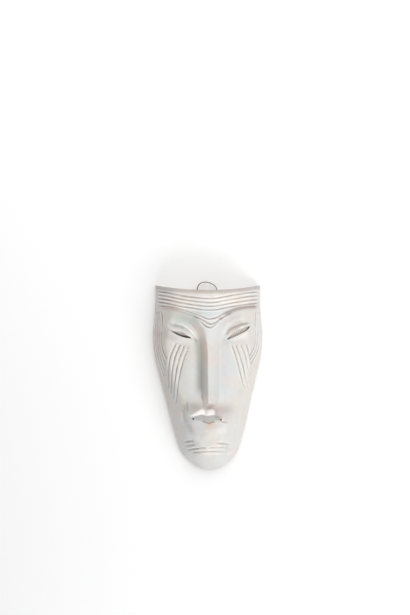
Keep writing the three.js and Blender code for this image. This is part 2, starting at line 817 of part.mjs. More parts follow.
// A round hole along an upright or level direction, a closed cylinder with eight sides
function roundCutter(wasm, radius, length, position, direction) {
  const sections = [0, 1].map((end) => {
    const centre = position.clone().addScaledVector(direction, end * length);
    const side = direction.z === 0 ? new THREE.Vector3(0, 0, 1) : new THREE.Vector3(1, 0, 0);
    const other = new THREE.Vector3().crossVectors(direction, side);
    return Array.from({ length: HOLE_SIDES }, (_, i) => {
      const turn = (Math.PI * 2 * i) / HOLE_SIDES;
      return centre
        .clone()
        .addScaledVector(side, radius * Math.cos(turn))
        .addScaledVector(other, radius * Math.sin(turn));
    });
  });
  return loft(wasm, sections);
}

function toGeometry(solid) {
  const { vertProperties, triVerts } = solid.getMesh();
  const geometry = new THREE.BufferGeometry();
  geometry.setAttribute("position", new THREE.BufferAttribute(vertProperties, 3));
  geometry.setIndex(new THREE.BufferAttribute(triVerts, 1));
  return toCreasedNormals(geometry, CREASE_ANGLE);
}

function maskBody(wasm) {
  let body = shell(wasm);
  const cutters = incisedLines().map((line) => grooveAlong(wasm, line));
  cutters.push(...EYES.map((eye) => eyeCut(wasm, eye)));
  const down = new THREE.Vector3(0, 0, -1);
  for (const [x, y] of CORNER_HOLES) {
    const start = new THREE.Vector3(x, y, CORNER_HOLE_TOP);
    cutters.push(roundCutter(wasm, CORNER_HOLE_RADIUS, CORNER_HOLE_LENGTH, start, down));
  }
  const back = new THREE.Vector3(0, -1, 0);
  for (const x of LOOP_LEGS) {
    const start = new THREE.Vector3(x, TOP_Y + HOLE_OUTSIDE, LOOP_Z);
    const length = HOLE_OUTSIDE + WALL + HOLE_INSIDE;
    cutters.push(roundCutter(wasm, WIRE_RADIUS + WIRE_CLEARANCE, length, start, back));
  }
  for (const cutter of cutters) body = body.subtract(cutter);
  const material = new THREE.MeshStandardMaterial({ color: 0xe6e3df, roughness: 0.18, metalness: 0 });
  const mesh = new THREE.Mesh(toGeometry(body), material);
  mesh.name = "mask_body";
  return mesh;
}

// The wire's middle line: up inside, out through the top wall, over in an arch and back
function loopPath() {
  const leg = [
    [LOOP_LEG_END_Y, LOOP_Z + LOOP_TURN_UP],
    [LOOP_LEG_END_Y, LOOP_Z + LOOP_BEND],
    [LOOP_LEG_END_Y + LOOP_BEND, LOOP_Z],
    [TOP_Y - WALL / 2, LOOP_Z],
    [TOP_Y, LOOP_Z],
  ];
  const [left, right] = LOOP_LEGS.map((x) => leg.map(([y, z]) => new THREE.Vector3(x, y, z)));
  const over = LOOP_ARCH.map(([x, y]) => new THREE.Vector3(x, y, LOOP_Z));
  return new THREE.CatmullRomCurve3([...left, ...over, ...right.reverse()], false, "centripetal");
}

function hangingLoop() {
  const section = new THREE.Shape().absarc(0, 0, WIRE_RADIUS, 0, Math.PI * 2);
  const geometry = new THREE.ExtrudeGeometry(section, {
    extrudePath: loopPath(),
    steps: LOOP_STEPS,
    curveSegments: LOOP_CURVE_SEGMENTS,
  });
  const material = new THREE.MeshStandardMaterial({ color: 0x8d847a, roughness: 0.4, metalness: 0.9 });
  const mesh = new THREE.Mesh(geometry, material);
  mesh.name = "hanging_loop";
  return mesh;
}

const wasm = await Module();
wasm.setup();

const mask = new THREE.Group();
mask.add(maskBody(wasm), hangingLoop());

export default mask;
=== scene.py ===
# A glazed stoneware wall mask with a wire loop, lying face up on a white table.
# Shapes are worked out in millimetres in the part's own frame and become metres when a mesh is made.
import math

import bmesh
import bpy
import numpy as np
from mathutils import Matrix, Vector


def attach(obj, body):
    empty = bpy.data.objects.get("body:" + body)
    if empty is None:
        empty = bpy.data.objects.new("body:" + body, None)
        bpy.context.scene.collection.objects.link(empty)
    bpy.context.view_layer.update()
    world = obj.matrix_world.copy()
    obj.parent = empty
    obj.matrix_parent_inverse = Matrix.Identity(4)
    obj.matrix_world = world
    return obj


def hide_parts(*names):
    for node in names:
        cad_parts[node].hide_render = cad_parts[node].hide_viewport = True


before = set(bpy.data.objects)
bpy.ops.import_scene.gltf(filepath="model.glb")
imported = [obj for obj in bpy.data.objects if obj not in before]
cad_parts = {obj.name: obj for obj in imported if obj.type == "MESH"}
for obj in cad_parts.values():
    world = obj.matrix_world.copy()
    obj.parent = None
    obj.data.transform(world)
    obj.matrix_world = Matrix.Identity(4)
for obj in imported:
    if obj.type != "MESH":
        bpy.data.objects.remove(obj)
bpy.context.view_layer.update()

MM = 0.001

# Camera: straight above, as the photograph looks down on the mask
CAMERA_AT = (-3.9, 92.3)  # mm, the point of the table under the lens
CAMERA_HEIGHT = 1631.0  # mm
FOCAL_LENGTH = 70.0
SENSOR = 36.0

# Light: name, direction in degrees from the mask's right towards its top, height in degrees, watts
SOFT_BOXES = [
    ("box_below", -90, 30, 5.2),
    ("box_below_right", -45, 30, 7.7),
    ("high_box_below_right", -45, 60, 2.1),
    ("box_right", 0, 50, 0.9),
    ("box_above_right", 45, 45, 4.2),
    ("box_above", 90, 30, 5.0),
    ("high_box_above", 90, 60, 5.1),
    ("box_above_left", 135, 45, 2.4),
]
BOX_DISTANCE = 1.5  # metres from the mask's middle
BOX_SIZE = 0.8
WORLD_LIGHT = 0.31
WALL_LIGHT = 0.95  # how bright the camera sees the white wall beyond the table

# Table: a round white top, in metres
TABLE_RADIUS = 1.25
TABLE_SIDES = 96
TABLE_WHITE = 0.9
TABLE_ROUGHNESS = 0.9

# Overall sizes of the mask, the same as its solid's
CHIN_Y = -127.4
TOP_Y = 115.8
CORNER_RISE = 6.6
CORNER_BEND = 2.2
EDGE_HEIGHT = 7.0
WALL = 6.5
LEAN = 2.0  # how far the middle line drifts to the right on its way down
LEAN_RUN = (40.0, -120.0)
LEAST_WIDTH = 0.001
CHIN_ARC_Y = -94.0
CHIN_ROUND = 2.3
CHIN_FALL_Y = -60.0
HALF_WIDTHS = [
    (126, 70.9), (102, 70.2), (78, 72.2), (52, 73.8), (29, 71.8),
    (-4, 64.2), (-36, 56.2), (-61, 50.7), (-85, 43.8), (CHIN_Y, 31.0),
]

# Cross-section of the plain form: sloping sides meet a crowned front in a soft shoulder. (y, value) pairs
CROWN_HEIGHTS = [(126, 35), (TOP_Y, 37), (92, 42), (60, 40), (20, 37), (-30, 36), (-60, 37)]
CROWN_FALLS = [(126, 9), (90, 9), (60, 9), (45, 12), (-20, 13), (-90, 13)]
SIDE_SLOPES = [(126, 1.75), (80, 1.7), (45, 1.75), (0, 1.45), (-20, 1.35), (-90, 1.3)]
SHOULDERS = [(126, 30), (90, 26), (60, 14), (45, 11), (0, 10), (-20, 9), (-60, 11), (-90, 16)]
CROWN_ROUND = 0.3

# Relief on the plain form: how it fades towards the outline, and how mounds and soft lines fall off
RELIEF_FADE = (1.0, 0.8)  # places across where the relief has faded out, and where that starts
MOUND_FALL = 1.4
SOFT_REACH = 2.6  # a soft line reaches so many half widths
SOFT_END = -0.5
STEP_MARGIN = 2.0  # mm, about the longest step between the points of a line

# Forehead stripes and brow line: (place across as a share of the half width, y)
FIRST_STRIPE = [(-0.92, 113.6), (-0.43, 107.2), (0.06, 104.1), (0.49, 108.9), (0.92, 113.3)]
LAST_STRIPE = [(-0.92, 99.4), (-0.43, 92.6), (0.06, 88.5), (0.49, 93.7), (0.92, 98.0)]
BROW_LINE = [
    (-0.98, 94.2), (-0.68, 92.6), (-0.43, 87.6), (-0.2, 82.1), (0.05, 76.5),
    (0.2, 80.0), (0.32, 84.6), (0.6, 92.0), (0.98, 93.2),
]
STRIPES = 4
STRIPE_POINTS = 13
STRIPE_REACH = 0.97
STRIPE_DARKNESS = 0.6
BROW_REACH = 0.92
EDGE_ROUND = 5.0  # the top edge is rounded off over this width
EDGE_DROP = 2.2

# Sets of incised lines, evenly spaced from the first to the last: count, depth and darkness against the
# usual, half width in mm, and the points of the first and the last line
LINE_SETS = {
    "left cheek": (
        4, 1.0, 1.0, 1.0,
        [(-42.3, 45.7), (-50.2, 27.0), (-53.2, 8.0), (-53.0, -18.4)],
        [(-25.6, 41.1), (-33.8, 19.0), (-39.6, -7.0), (-43.4, -38.1)],
    ),
    "right cheek, long": (
        2, 1.0, 0.75, 1.0,
        [(31.3, 43.8), (38.3, 23.8), (42.9, 5.2), (50.4, -17.0)],
        [(36.6, 44.0), (43.7, 23.8), (49.3, 5.2), (55.0, -17.5)],
    ),
    "right cheek, short": (
        2, 0.9, 0.6, 1.0,
        [(43.0, 44.2), (47.8, 33.1), (51.0, 23.8), (56.2, 3.0)],
        [(50.4, 44.5), (54.2, 33.1), (57.0, 23.8), (58.3, 15.0)],
    ),
    "left side": (
        4, 1.5, 1.8, 1.6,
        [(-70.5, 86.0), (-71.2, 62.0), (-70.8, 42.0), (-67.0, 22.5), (-59.3, -1.0)],
        [(-62.7, 88.0), (-61.9, 64.7), (-63.2, 47.0), (-60.1, 32.4), (-55.3, 21.7)],
    ),
    "right side": (
        3, 1.3, 1.4, 1.4,
        [(64.8, 88.0), (64.9, 64.0), (64.6, 50.0), (61.6, 37.8), (55.5, 25.5)],
        [(70.7, 86.0), (71.3, 58.0), (70.2, 43.0), (65.5, 28.5), (57.5, 15.5)],
    ),
    "brow chevrons": (
        2, 0.9, 0.8, 1.0,
        [(-21.1, 80.9), (-8.0, 75.7), (4.0, 70.3), (15.0, 75.4), (31.9, 85.5)],
        [(-12.0, 75.0), (-4.6, 68.6), (2.7, 65.9), (8.5, 68.4), (17.0, 75.6)],
    ),
    "chin, left": (
        2, 1.3, 0.3, 1.5,
        [(-31.5, -89.3), (-26.1, -87.4), (-18.5, -85.7)],
        [(-30.0, -94.9), (-24.5, -93.0), (-18.0, -91.0)],
    ),
    "chin, right": (
        2, 1.2, 0.35, 1.4,
        [(10.5, -88.3), (19.5, -89.4), (28.5, -91.8)],
        [(0.0, -94.9), (13.0, -94.6), (26.5, -95.0)],
    ),
    "under the chin": (
        2, 1.4, 0.33, 1.4,
        [(-28.0, -100.2), (-14.0, -96.3), (-2.0, -94.6)],
        [(-21.5, -103.2), (0.0, -100.3), (23.5, -101.4)],
    ),
    "right jaw": (
        4, 1.3, 0.5, 1.0,
        [(17.0, -103.5), (22.0, -99.5), (28.0, -93.0)],
        [(25.0, -108.5), (29.5, -104.0), (34.0, -98.5)],
    ),
}
GROOVE_TAPER = 3.5  # a groove runs out over this length at each end
GROOVE_DEPTH = 1.1
GROOVE_HALF_WIDTH = 0.95
GROOVE_ROUND = 1.3
GROOVE_WAVES = [(0.1, 0.13, 2.1), (0.06, 0.41, 1.0)]  # share, radians for a mm, and shift from line to line
GROOVE_SWAY = 0.15  # how much of the wavering depth shows in the width too
GROOVE_SHOULDER = 0.7  # how far the clay beside a groove is pressed down, as a share of its depth
SHOULDER_WIDTH = 2.4
BURR_HEIGHT = 0.3  # the clay pushed up beside a groove, as a share of its depth
BURR_PLACE = 1.1  # mm from the groove's side to the top of the burr
BURR_WIDTH = 0.8

# Eyes: the slit runs from the outer to the inner corner, and the lid above it is pared back to a depth in mm.
# By the share of the way along: half the opening, and the width of the pared face, both in mm
EYES = [
    {
        "slit": [(-50.1, 61.9), (-44.5, 58.6), (-36.5, 55.2), (-29.5, 53.2), (-22.4, 51.7)],
        "open": [(0, 0.08), (0.2, 0.25), (0.4, 0.75), (0.85, 0.85), (1, 0.3)],
        "pared": [(0, 0.1), (0.2, 1.8), (0.4, 4.4), (0.55, 4.8), (0.8, 2.2), (1, 0.3)],
        "depth": 3.0,
    },
    {
        "slit": [(55.5, 67.0), (52.6, 63.4), (49.0, 60.6), (42.0, 56.9), (34.0, 53.2), (25.8, 50.3)],
        "open": [(0, 0.4), (0.1, 0.5), (0.3, 0.22), (0.8, 0.2), (0.95, 0.4), (1, 0.3)],
        "pared": [(0, 0.6), (0.15, 4.6), (0.5, 7.2), (0.8, 6.0), (1, 0.8)],
        "depth": 2.6,
    },
]
EYE_HALF_LENGTH = 21.0
EYE_HALF_HEIGHT = 11.0
EYE_HEIGHT = 5.0
EYE_FALL = 1.5
CUTTER_ABOVE = 4.0
CUTTER_BELOW = 18.0

# Brow: a step down below the brow line that runs out again, and is low over the nose
BROW_LEDGE = 4.0
LEDGE_STEP = (-0.5, 3.4)  # mm below the brow line where it starts, and where it is full
LEDGE_RUN_OUT = (34.0, 8.0)  # mm below the brow line where it has run out, and where that starts
LEDGE_ENDS = (0.94, 0.82)  # places across where it has faded out, and where that starts
LEDGE_MIDDLE_X = 3.0
LEDGE_OVER_NOSE = 0.12
LEDGE_NOSE_ZONE = (8.0, 26.0)  # mm from its middle over which it grows to its full height
LEDGE_BAND = 5.0  # mm below the brow line that have mesh rows of their own

# Sockets below the brow: x, y, half width, half length, depth
SOCKETS = [(-27, 69, 26, 19, 7.5), (31, 72, 26, 19, 7.0)]

# Nose: ridge place across, height above the face and half width of each flank, by y
NOSE_CREST = [
    (82, -16), (74, -8.5), (66, -5.0), (58, -2.9), (48, -1.3), (34, -0.3), (0, 0.2), (-30, 0.6), (-41, -0.6),
]
NOSE_RIDGE = [(84, 0.3), (65, 5), (36, 11), (-3, 16), (-22, 18.6), (-34, 17)]
NOSE_LEFT = [(80, 24), (65, 14), (50, 10.4), (36, 9.4), (-24, 9.4), (-34, 7), (-41, 4)]
NOSE_RIGHT = [(80, 27), (65, 23), (50, 18), (36, 15.5), (-22, 14.8), (-40, 11)]
NOSE_VALLEYS = [
    ([(-15, 54), (-11.0, 30), (-10.5, 0), (-10.5, -30)], 8, -2.0),
    ([(20, 50), (16.5, 30), (16.0, 0), (17.0, -28)], 8, -1.6),
]
NOSE_TIP_Y = -32.5
NOSE_END_Y = -39.8
NOSE_BULGE = 1.3  # how full the right flank is
RIDGE_ROUND = 0.08

# Mouth and chin
LIP_TOP = [
    (-26, -52.0), (-15.8, -45.4), (-11.2, -42.0), (-6.7, -40.6), (-3.6, -43.6), (-0.6, -41.8), (7.0, -41.4),
    (12, -47.4), (19, -54),
]
LIP_RIDGE = [
    (-26, -53.2), (-18, -50.9), (-6.7, -48.0), (-3.4, -50.2), (-1.5, -49.9), (9.3, -48.9),
    (16, -52.6), (20, -55),
]
MOUTH_LINE = [
    (-26, -55.2), (-18, -57.0), (-10, -58.4), (-3, -59.8), (2, -60.9), (7, -60.0), (12, -58.9), (19, -57.2),
]
LIP_HEIGHT = 6.5
LIP_SWELL = 0.25
LIP_HOLLOW = 1.8
LIP_LEFT_END = (-27.0, -20.0)
LIP_RIGHT_END = (22.0, 15.0)
LIP_NOTCH = 0.2
LIP_NOTCH_X = -3.3
LIP_NOTCH_WIDTH = 2.8
MUZZLE = (1.5, -53, 35, 25, 4.5)  # x, y, half width, half length, height, as for the mounds below
MUZZLE_FALL = 2.5
SOFT_MOUNDS = [
    (3.5, -66.5, 17, 6, 1.4),
    (-1.5, -79, 8, 4.5, 1.4),
    (-27.5, -74, 6, 6, 1.0),
    (-19, -82, 7, 3.5, 1.0),
    (23, -80, 9, 4.5, 1.3),
]
CORNER_HOLES = [(-19.6, -55.2), (17.2, -56.4)]
CORNER_HOLE_RADIUS = 1.3

# Unevenness of a surface smoothed by hand, in mm
HAND_WIDE = 0.2
HAND_FINE = 0.08

# The mask's mesh: its faces by material, the bare foot, and what counts as a seam or as nothing
GLAZE, THIN_GLAZE, BARE_CLAY, PARED = 0, 1, 2, 3
FOOT_HEIGHT = 1.2
WALL_STEPS = 8
SHARP_ANGLE = math.radians(48)
NO_LENGTH = 1e-9
SEAM_GAP = 0.01  # mm, points closer than this become one
NO_EDGE = 0.005

# Wire loop: a flattened arch of stiff wire through two holes in the top wall, ends turned up inside
WIRE_RADIUS = 0.7
WIRE_CLEARANCE = 0.35
LOOP_LEGS = (-14.5, 12.1)
LOOP_Z = 9.0
LOOP_LEG_END_Y = 104.5
LOOP_TURN_UP = 8.0
LOOP_BEND = 3.2
LOOP_BEND_MIDDLE = 0.9
LOOP_SPACING = 0.8
WIRE_SIDES = 16
LOOP_ARCH = [
    (-13.8, 120.1), (-12.0, 123.2), (-9.6, 125.4), (-6.5, 126.4), (-3.2, 126.7),
    (0.2, 126.4), (3.6, 125.3), (6.8, 123.6), (9.7, 121.3), (11.6, 118.8),
]
HOLE_OUTSIDE = 5.0
HOLE_INSIDE = 3.0
HOLE_SIDES = 24

# The hollow behind the face
INNER_EDGE = 3.0
INNER_SHARE = 0.88
INNER_NOSE = 0.5
INNER_NOSE_WIDE = 8.0

# Soft ridges and creases in the clay: points, half width, and height, which is negative for a crease
SOFT_LINES = {
    "left lid rim": ([(-52.5, 64.4), (-49.0, 64.0), (-41.5, 62.8), (-34.4, 60.7), (-25.8, 55.9)], 1.9, 1.8),
    "left lid groove": (
        [(-54.0, 68.3), (-46.0, 68.0), (-39.0, 67.0), (-31.0, 63.4), (-25.0, 57.5)],
        2.0, -2.2,
    ),
    "left fold": (
        [(-44.0, 71.9), (-35.4, 69.8), (-30.0, 66.7), (-23.4, 61.8), (-18.6, 56.8), (-15.6, 51.6),
         (-14.6, 45.6)],
        1.9, 2.4,
    ),
    "right lid rim": ([(24.5, 51.8), (31.0, 57.4), (38.3, 62.0), (45.5, 66.0), (54.0, 69.6)], 1.3, 1.6),
    "right lid groove": (
        [(25.6, 50.5), (28.0, 55.2), (31.6, 60.0), (37.2, 64.6), (45.0, 68.2), (54.0, 69.6)],
        1.8, -3.0,
    ),
    "right fold": ([(20.5, 56.0), (24.0, 64.5), (31.0, 70.6), (40.5, 75.4), (50.0, 76.6)], 3.0, 1.6),
    "left jaw rib": ([(-37.5, -46.0), (-36.6, -58.0), (-33.5, -66.0)], 2.0, 2.0),
    "left jaw rib, lower": ([(-31.0, -68.0), (-28.5, -76.0)], 2.2, 1.4),
    "left jaw crease": ([(-31.5, -36.0), (-32.5, -50.0), (-31.0, -62.0)], 2.6, -1.6),
    "left jaw crease, lower": ([(-26.5, -64.0), (-22.5, -76.0)], 3.4, -1.4),
    "right cheek crease": ([(40.0, -13.0), (43.5, -26.0), (47.5, -36.0)], 4.0, -1.4),
    "right muzzle side": ([(36.5, -32.0), (37.3, -46.0), (35.5, -62.0)], 2.2, -1.6),
    "right edge of the nose": ([(15.5, 48.0), (13.6, 22.0), (13.8, -30.0)], 1.3, -0.6),
}


def smooth(start, end, value):
    t = np.clip((value - start) / (end - start), 0, 1)
    return t * t * (3 - 2 * t)


def curve_through(points):
    """A smooth curve through (place, value) points, level beyond its ends."""
    places, values = (np.array(column, float) for column in zip(*sorted(points)))
    before = np.r_[0, np.arange(len(places) - 1)]
    after = np.r_[np.arange(1, len(places)), len(places) - 1]
    slopes = (values[after] - values[before]) / (places[after] - places[before])

    def value_at(place):
        place = np.clip(np.asarray(place, float), places[0], places[-1])
        i = np.clip(np.searchsorted(places, place, side="right") - 1, 0, len(places) - 2)
        span = places[i + 1] - places[i]
        t = (place - places[i]) / span
        bend = t * (1 - t) * (slopes[i] * span * (1 - t) - slopes[i + 1] * span * t)
        return values[i] + (values[i + 1] - values[i]) * t * t * (3 - 2 * t) + bend

    return value_at


def smooth_line(points, spacing=1.0):
    """Points every millimetre or so along a smooth line through the given ones."""
    points = np.array(points, float)
    before = np.r_[points[:1], points[:-1]]
    after = np.r_[points[1:], points[-1:]]
    slopes = (after - before) / 2
    slopes[0] *= 2
    slopes[-1] *= 2
    pieces = []
    for i in range(len(points) - 1):
        steps = max(2, int(np.linalg.norm(points[i + 1] - points[i]) / spacing))
        t = np.linspace(0, 1, steps, endpoint=False)[:, None]
        pieces.append(
            (2 * t**3 - 3 * t**2 + 1) * points[i] + (t**3 - 2 * t**2 + t) * slopes[i]
            + (3 * t**2 - 2 * t**3) * points[i + 1] + (t**3 - t**2) * slopes[i + 1]
        )
    return np.concatenate(pieces + [points[-1:]])


def near_line(points, line, reach):
    """Distance of each point to a line, and how far along the line it is nearest. Far points get reach."""
    distance = np.full(len(points), float(reach))
    along = np.zeros(len(points))
    low, high = line.min(axis=0) - reach, line.max(axis=0) + reach
    near = np.where(np.all((points >= low) & (points <= high), axis=1))[0]
    lengths = np.r_[0, np.cumsum(np.linalg.norm(np.diff(line, axis=0), axis=1))]
    for i in range(len(line) - 1):
        start, step = line[i], line[i + 1] - line[i]
        close = near[np.all(np.abs(points[near] - start) < reach + STEP_MARGIN, axis=1)]
        t = np.clip(((points[close] - start) @ step) / (step @ step), 0, 1)
        gap = np.linalg.norm(points[close] - start - t[:, None] * step, axis=1)
        better = gap < distance[close]
        distance[close[better]] = gap[better]
        along[close[better]] = lengths[i] + t[better] * np.linalg.norm(step)
    return distance, along, lengths[-1]


taper_width = curve_through(HALF_WIDTHS)
crown_height = curve_through(CROWN_HEIGHTS)
crown_fall = curve_through(CROWN_FALLS)
side_slope = curve_through(SIDE_SLOPES)
shoulder = curve_through(SHOULDERS)
first_stripe = curve_through(FIRST_STRIPE)
last_stripe = curve_through(LAST_STRIPE)
brow_line = curve_through(BROW_LINE)
nose_crest = curve_through(NOSE_CREST)
nose_ridge = curve_through(NOSE_RIDGE)
nose_left = curve_through(NOSE_LEFT)
nose_right = curve_through(NOSE_RIGHT)
lip_top = curve_through(LIP_TOP)
lip_ridge = curve_through(LIP_RIDGE)
mouth_line = curve_through(MOUTH_LINE)


def middle_x(y):
    return LEAN * smooth(*LEAN_RUN, y)


def top_edge(across):
    return TOP_Y + CORNER_RISE * np.abs(across) ** CORNER_BEND


def chin_rounding(y):
    t = np.clip((CHIN_ARC_Y - y) / (CHIN_ARC_Y - CHIN_Y), 0, 1)
    return np.sqrt(1 - t ** CHIN_ROUND)


def half_width(y):
    return taper_width(y) * chin_rounding(y)


def place_across(x, y):
    """How far a point lies from the middle line, as a share of the half width."""
    return (x - middle_x(y)) / np.maximum(half_width(y), LEAST_WIDTH)


def arch(across, y):
    """The plain hollow form, coming down to the edge at the sides and at the chin."""
    fall = np.clip((CHIN_FALL_Y - y) / (CHIN_FALL_Y - CHIN_Y), 0, 1)
    along = np.cos(math.pi / 2 * fall ** CORNER_BEND)
    full = math.sqrt(1 + CROWN_ROUND ** 2) - CROWN_ROUND
    out = (np.sqrt(across ** 2 + CROWN_ROUND ** 2) - CROWN_ROUND) / full
    side = side_slope(y) * taper_width(y) * (1 - np.clip(out, 0, 1))
    crown = crown_height(y) - crown_fall(y) * across ** 2
    blend = np.clip(1 - np.abs(side - crown) / shoulder(y), 0, 1)
    return along * (np.minimum(side, crown) - blend ** 2 * shoulder(y) / 4 * (side > 0))


def top_rounding(across, y):
    """How far the top edge is rounded off."""
    return EDGE_DROP * np.clip(1 - (top_edge(across) - y) / EDGE_ROUND, 0, 1) ** 2


def mound(x, y, size):
    middle, centre, wide, long, height = size
    return height * np.exp(-MOUND_FALL * (((x - middle) / wide) ** 2 + ((y - centre) / long) ** 2))


def soft_line(x, y, size):
    points, width, height = size
    line = smooth_line(points)
    place = np.stack(np.broadcast_arrays(x, y), axis=-1)
    reach = width * SOFT_REACH
    distance, along, length = near_line(place.reshape(-1, 2), line, reach)
    ends = smooth(SOFT_END, width * 2, along) * smooth(SOFT_END, width * 2, length - along)
    rise = height * np.exp(-((distance / width) ** 2)) * ends
    return np.where(distance < reach, rise, 0).reshape(place.shape[:-1])


def sockets(x, y):
    return sum(mound(x, y, size) for size in SOCKETS)


def brow_ledge(x, y):
    across = place_across(x, y)
    below = brow_line(across) - y
    ends = smooth(*LEDGE_ENDS, np.abs(across))
    beside_nose = smooth(*LEDGE_NOSE_ZONE, np.abs(x - LEDGE_MIDDLE_X))
    share = LEDGE_OVER_NOSE + (1 - LEDGE_OVER_NOSE) * beside_nose
    return BROW_LEDGE * smooth(*LEDGE_STEP, below) * smooth(*LEDGE_RUN_OUT, below) * ends * share


def eye_mound(x, y, eye):
    (ax, ay), (bx, by) = eye["slit"][0], eye["slit"][-1]
    length = math.hypot(bx - ax, by - ay)
    dx, dy = x - (ax + bx) / 2, y - (ay + by) / 2
    along = (dx * (bx - ax) + dy * (by - ay)) / length
    side = (dx * (by - ay) - dy * (bx - ax)) / length
    reach = (along / EYE_HALF_LENGTH) ** 2 + (side / EYE_HALF_HEIGHT) ** 2
    return EYE_HEIGHT * np.exp(-(reach ** EYE_FALL))


def nose(x, y):
    offset = x - nose_crest(y)
    t = np.abs(offset) / np.where(offset < 0, nose_left(y), nose_right(y) - nose_crest(y))
    rounded = np.sqrt(t * t + RIDGE_ROUND ** 2) - RIDGE_ROUND
    full = math.sqrt(1 + RIDGE_ROUND ** 2) - RIDGE_ROUND
    slope = np.clip(1 - rounded / full, 0, 1)
    bulge = np.where(offset < 0, slope, 1 - (1 - slope) ** NOSE_BULGE)
    return nose_ridge(y) * bulge * smooth(NOSE_END_Y, NOSE_TIP_Y, y)


def mouth(x, y):
    """The upper lip: a facet that rises from its top line to the ridge, and an underside below it."""
    rise = np.clip((lip_top(x) - y) / (lip_top(x) - lip_ridge(x)), 0, 1)
    fall = np.clip((lip_ridge(x) - y) / (lip_ridge(x) - mouth_line(x)), 0, 1)
    ends = smooth(*LIP_LEFT_END, x) * smooth(*LIP_RIGHT_END, x)
    notch = 1 - LIP_NOTCH * np.exp(-(((x - LIP_NOTCH_X) / LIP_NOTCH_WIDTH) ** 2))
    facet = rise * (1 + LIP_SWELL - LIP_SWELL * rise)
    return LIP_HEIGHT * facet * (1 - fall) ** LIP_HOLLOW * ends * notch


def muzzle(x, y):
    middle, centre, wide, long, height = MUZZLE
    reach = ((x - middle) / wide) ** 2 + ((y - centre) / long) ** 2
    return height * np.exp(-(reach ** MUZZLE_FALL))


def front(x, y):
    """Height of the front above the back plane, without the incised lines."""
    across = place_across(x, y)
    inside = smooth(*RELIEF_FADE, np.abs(across))
    z = EDGE_HEIGHT + arch(across, y) - top_rounding(across, y)
    z = z - (sockets(x, y) + brow_ledge(x, y)) * inside
    z = z + sum(eye_mound(x, y, eye) for eye in EYES) * inside
    z = z + nose(x, y) + muzzle(x, y) * inside + mouth(x, y)
    z = z + sum(mound(x, y, size) for size in SOFT_MOUNDS)
    z = z + sum(soft_line(x, y, size) for size in NOSE_VALLEYS)
    return z + sum(soft_line(x, y, size) for size in SOFT_LINES.values()) * inside


def level(y):
    """A row that runs straight across."""
    return lambda across: y + 0 * across


def below_ledge(across):
    return brow_line(across) - LEDGE_BAND


# Rows of the fine mesh run between these lines, from the top edge down, with so many steps to the next
ROW_CURVES = [
    (top_edge, 44),
    (last_stripe, 22),
    (brow_line, 14),
    (below_ledge, 34),
    (level(64), 34),
    (level(44), 74),
    (level(-30), 22),
    (level(-40), 48),
    (level(-70), 34),
    (level(CHIN_ARC_Y), 0),
]
CHIN_ROWS = 40
COLUMNS_NOSE = 70
COLUMNS_SIDE = 72
NOSE_ZONE = 25.0
NOSE_ZONE_SHARE = 0.5  # the most that the nose's columns take of a narrow row
COLUMN_CROWDING = 0.85
SETTLING_ROUNDS = 4  # a row's points and its curve depend on each other, and settle in so many rounds
INNER_COLUMNS = 60
INNER_ROWS = 80
INNER_CROWDING = 1.15


def row_functions():
    rows = []
    for (above, steps), (below, _) in zip(ROW_CURVES, ROW_CURVES[1:]):
        for i in range(steps):
            rows.append(lambda across, a=above, b=below, s=i / steps: a(across) * (1 - s) + b(across) * s)
    for i in range(CHIN_ROWS + 1):
        turn = math.sin(math.pi / 2 * i / CHIN_ROWS)
        rows.append(level(CHIN_ARC_Y + (CHIN_Y - CHIN_ARC_Y) * turn))
    return rows


def column_x(columns, y):
    """Columns run straight down the nose in the middle and follow the outline at the sides."""
    width = half_width(y)
    middle = np.minimum(NOSE_ZONE, width * NOSE_ZONE_SHARE)
    half = COLUMNS_NOSE / 2
    step = columns - half - COLUMNS_SIDE
    out = np.clip((np.abs(step) - half) / COLUMNS_SIDE, 0, 1)
    side = np.sign(step) * (middle + (width - middle) * np.sin(math.pi / 2 * out ** COLUMN_CROWDING))
    return middle_x(y) + np.where(np.abs(step) <= half, middle * step / half, side)


def front_grid():
    columns = np.arange(COLUMNS_NOSE + 2 * COLUMNS_SIDE + 1)
    rows = []
    for row in row_functions():
        y = row(0.0 * columns)
        for _ in range(SETTLING_ROUNDS):
            x = column_x(columns, y)
            y = row(place_across(x, y))
        rows.append([x, y])
    x, y = np.array(rows).transpose(1, 0, 2)
    return np.stack([x, y, front(x, y)], axis=-1)


def hollow_grid():
    across = np.sin(math.pi / 2 * np.linspace(-1, 1, INNER_COLUMNS + 1))
    rows = []
    for j in range(INNER_ROWS + 1):
        down = math.sin(math.pi / 2 * (j / INNER_ROWS) ** INNER_CROWDING)
        top = top_edge(across)
        outer_y = top + (CHIN_Y - top) * down
        y = top - WALL + (CHIN_Y + 2 * WALL - top) * down
        width = (taper_width(outer_y) - WALL) * chin_rounding(outer_y)
        outer_x = middle_x(outer_y) + across * half_width(outer_y)
        x = middle_x(y) + across * width
        nose_hollow = INNER_NOSE * nose_ridge(outer_y) * smooth(NOSE_END_Y, NOSE_TIP_Y, outer_y)
        form = arch(across, outer_y) - sockets(outer_x, outer_y) * (1 - across ** 2)
        narrow = np.exp(-((x - middle_x(y)) / INNER_NOSE_WIDE) ** 2)
        rows.append(np.stack([x, y, INNER_EDGE + INNER_SHARE * form + nose_hollow * narrow], axis=-1))
    return np.array(rows)


# The incised lines
def forehead_line(curve, reach):
    across = np.linspace(-reach, reach, STRIPE_POINTS)
    y = curve(across)
    return np.stack([middle_x(y) + across * half_width(y), y], axis=-1)


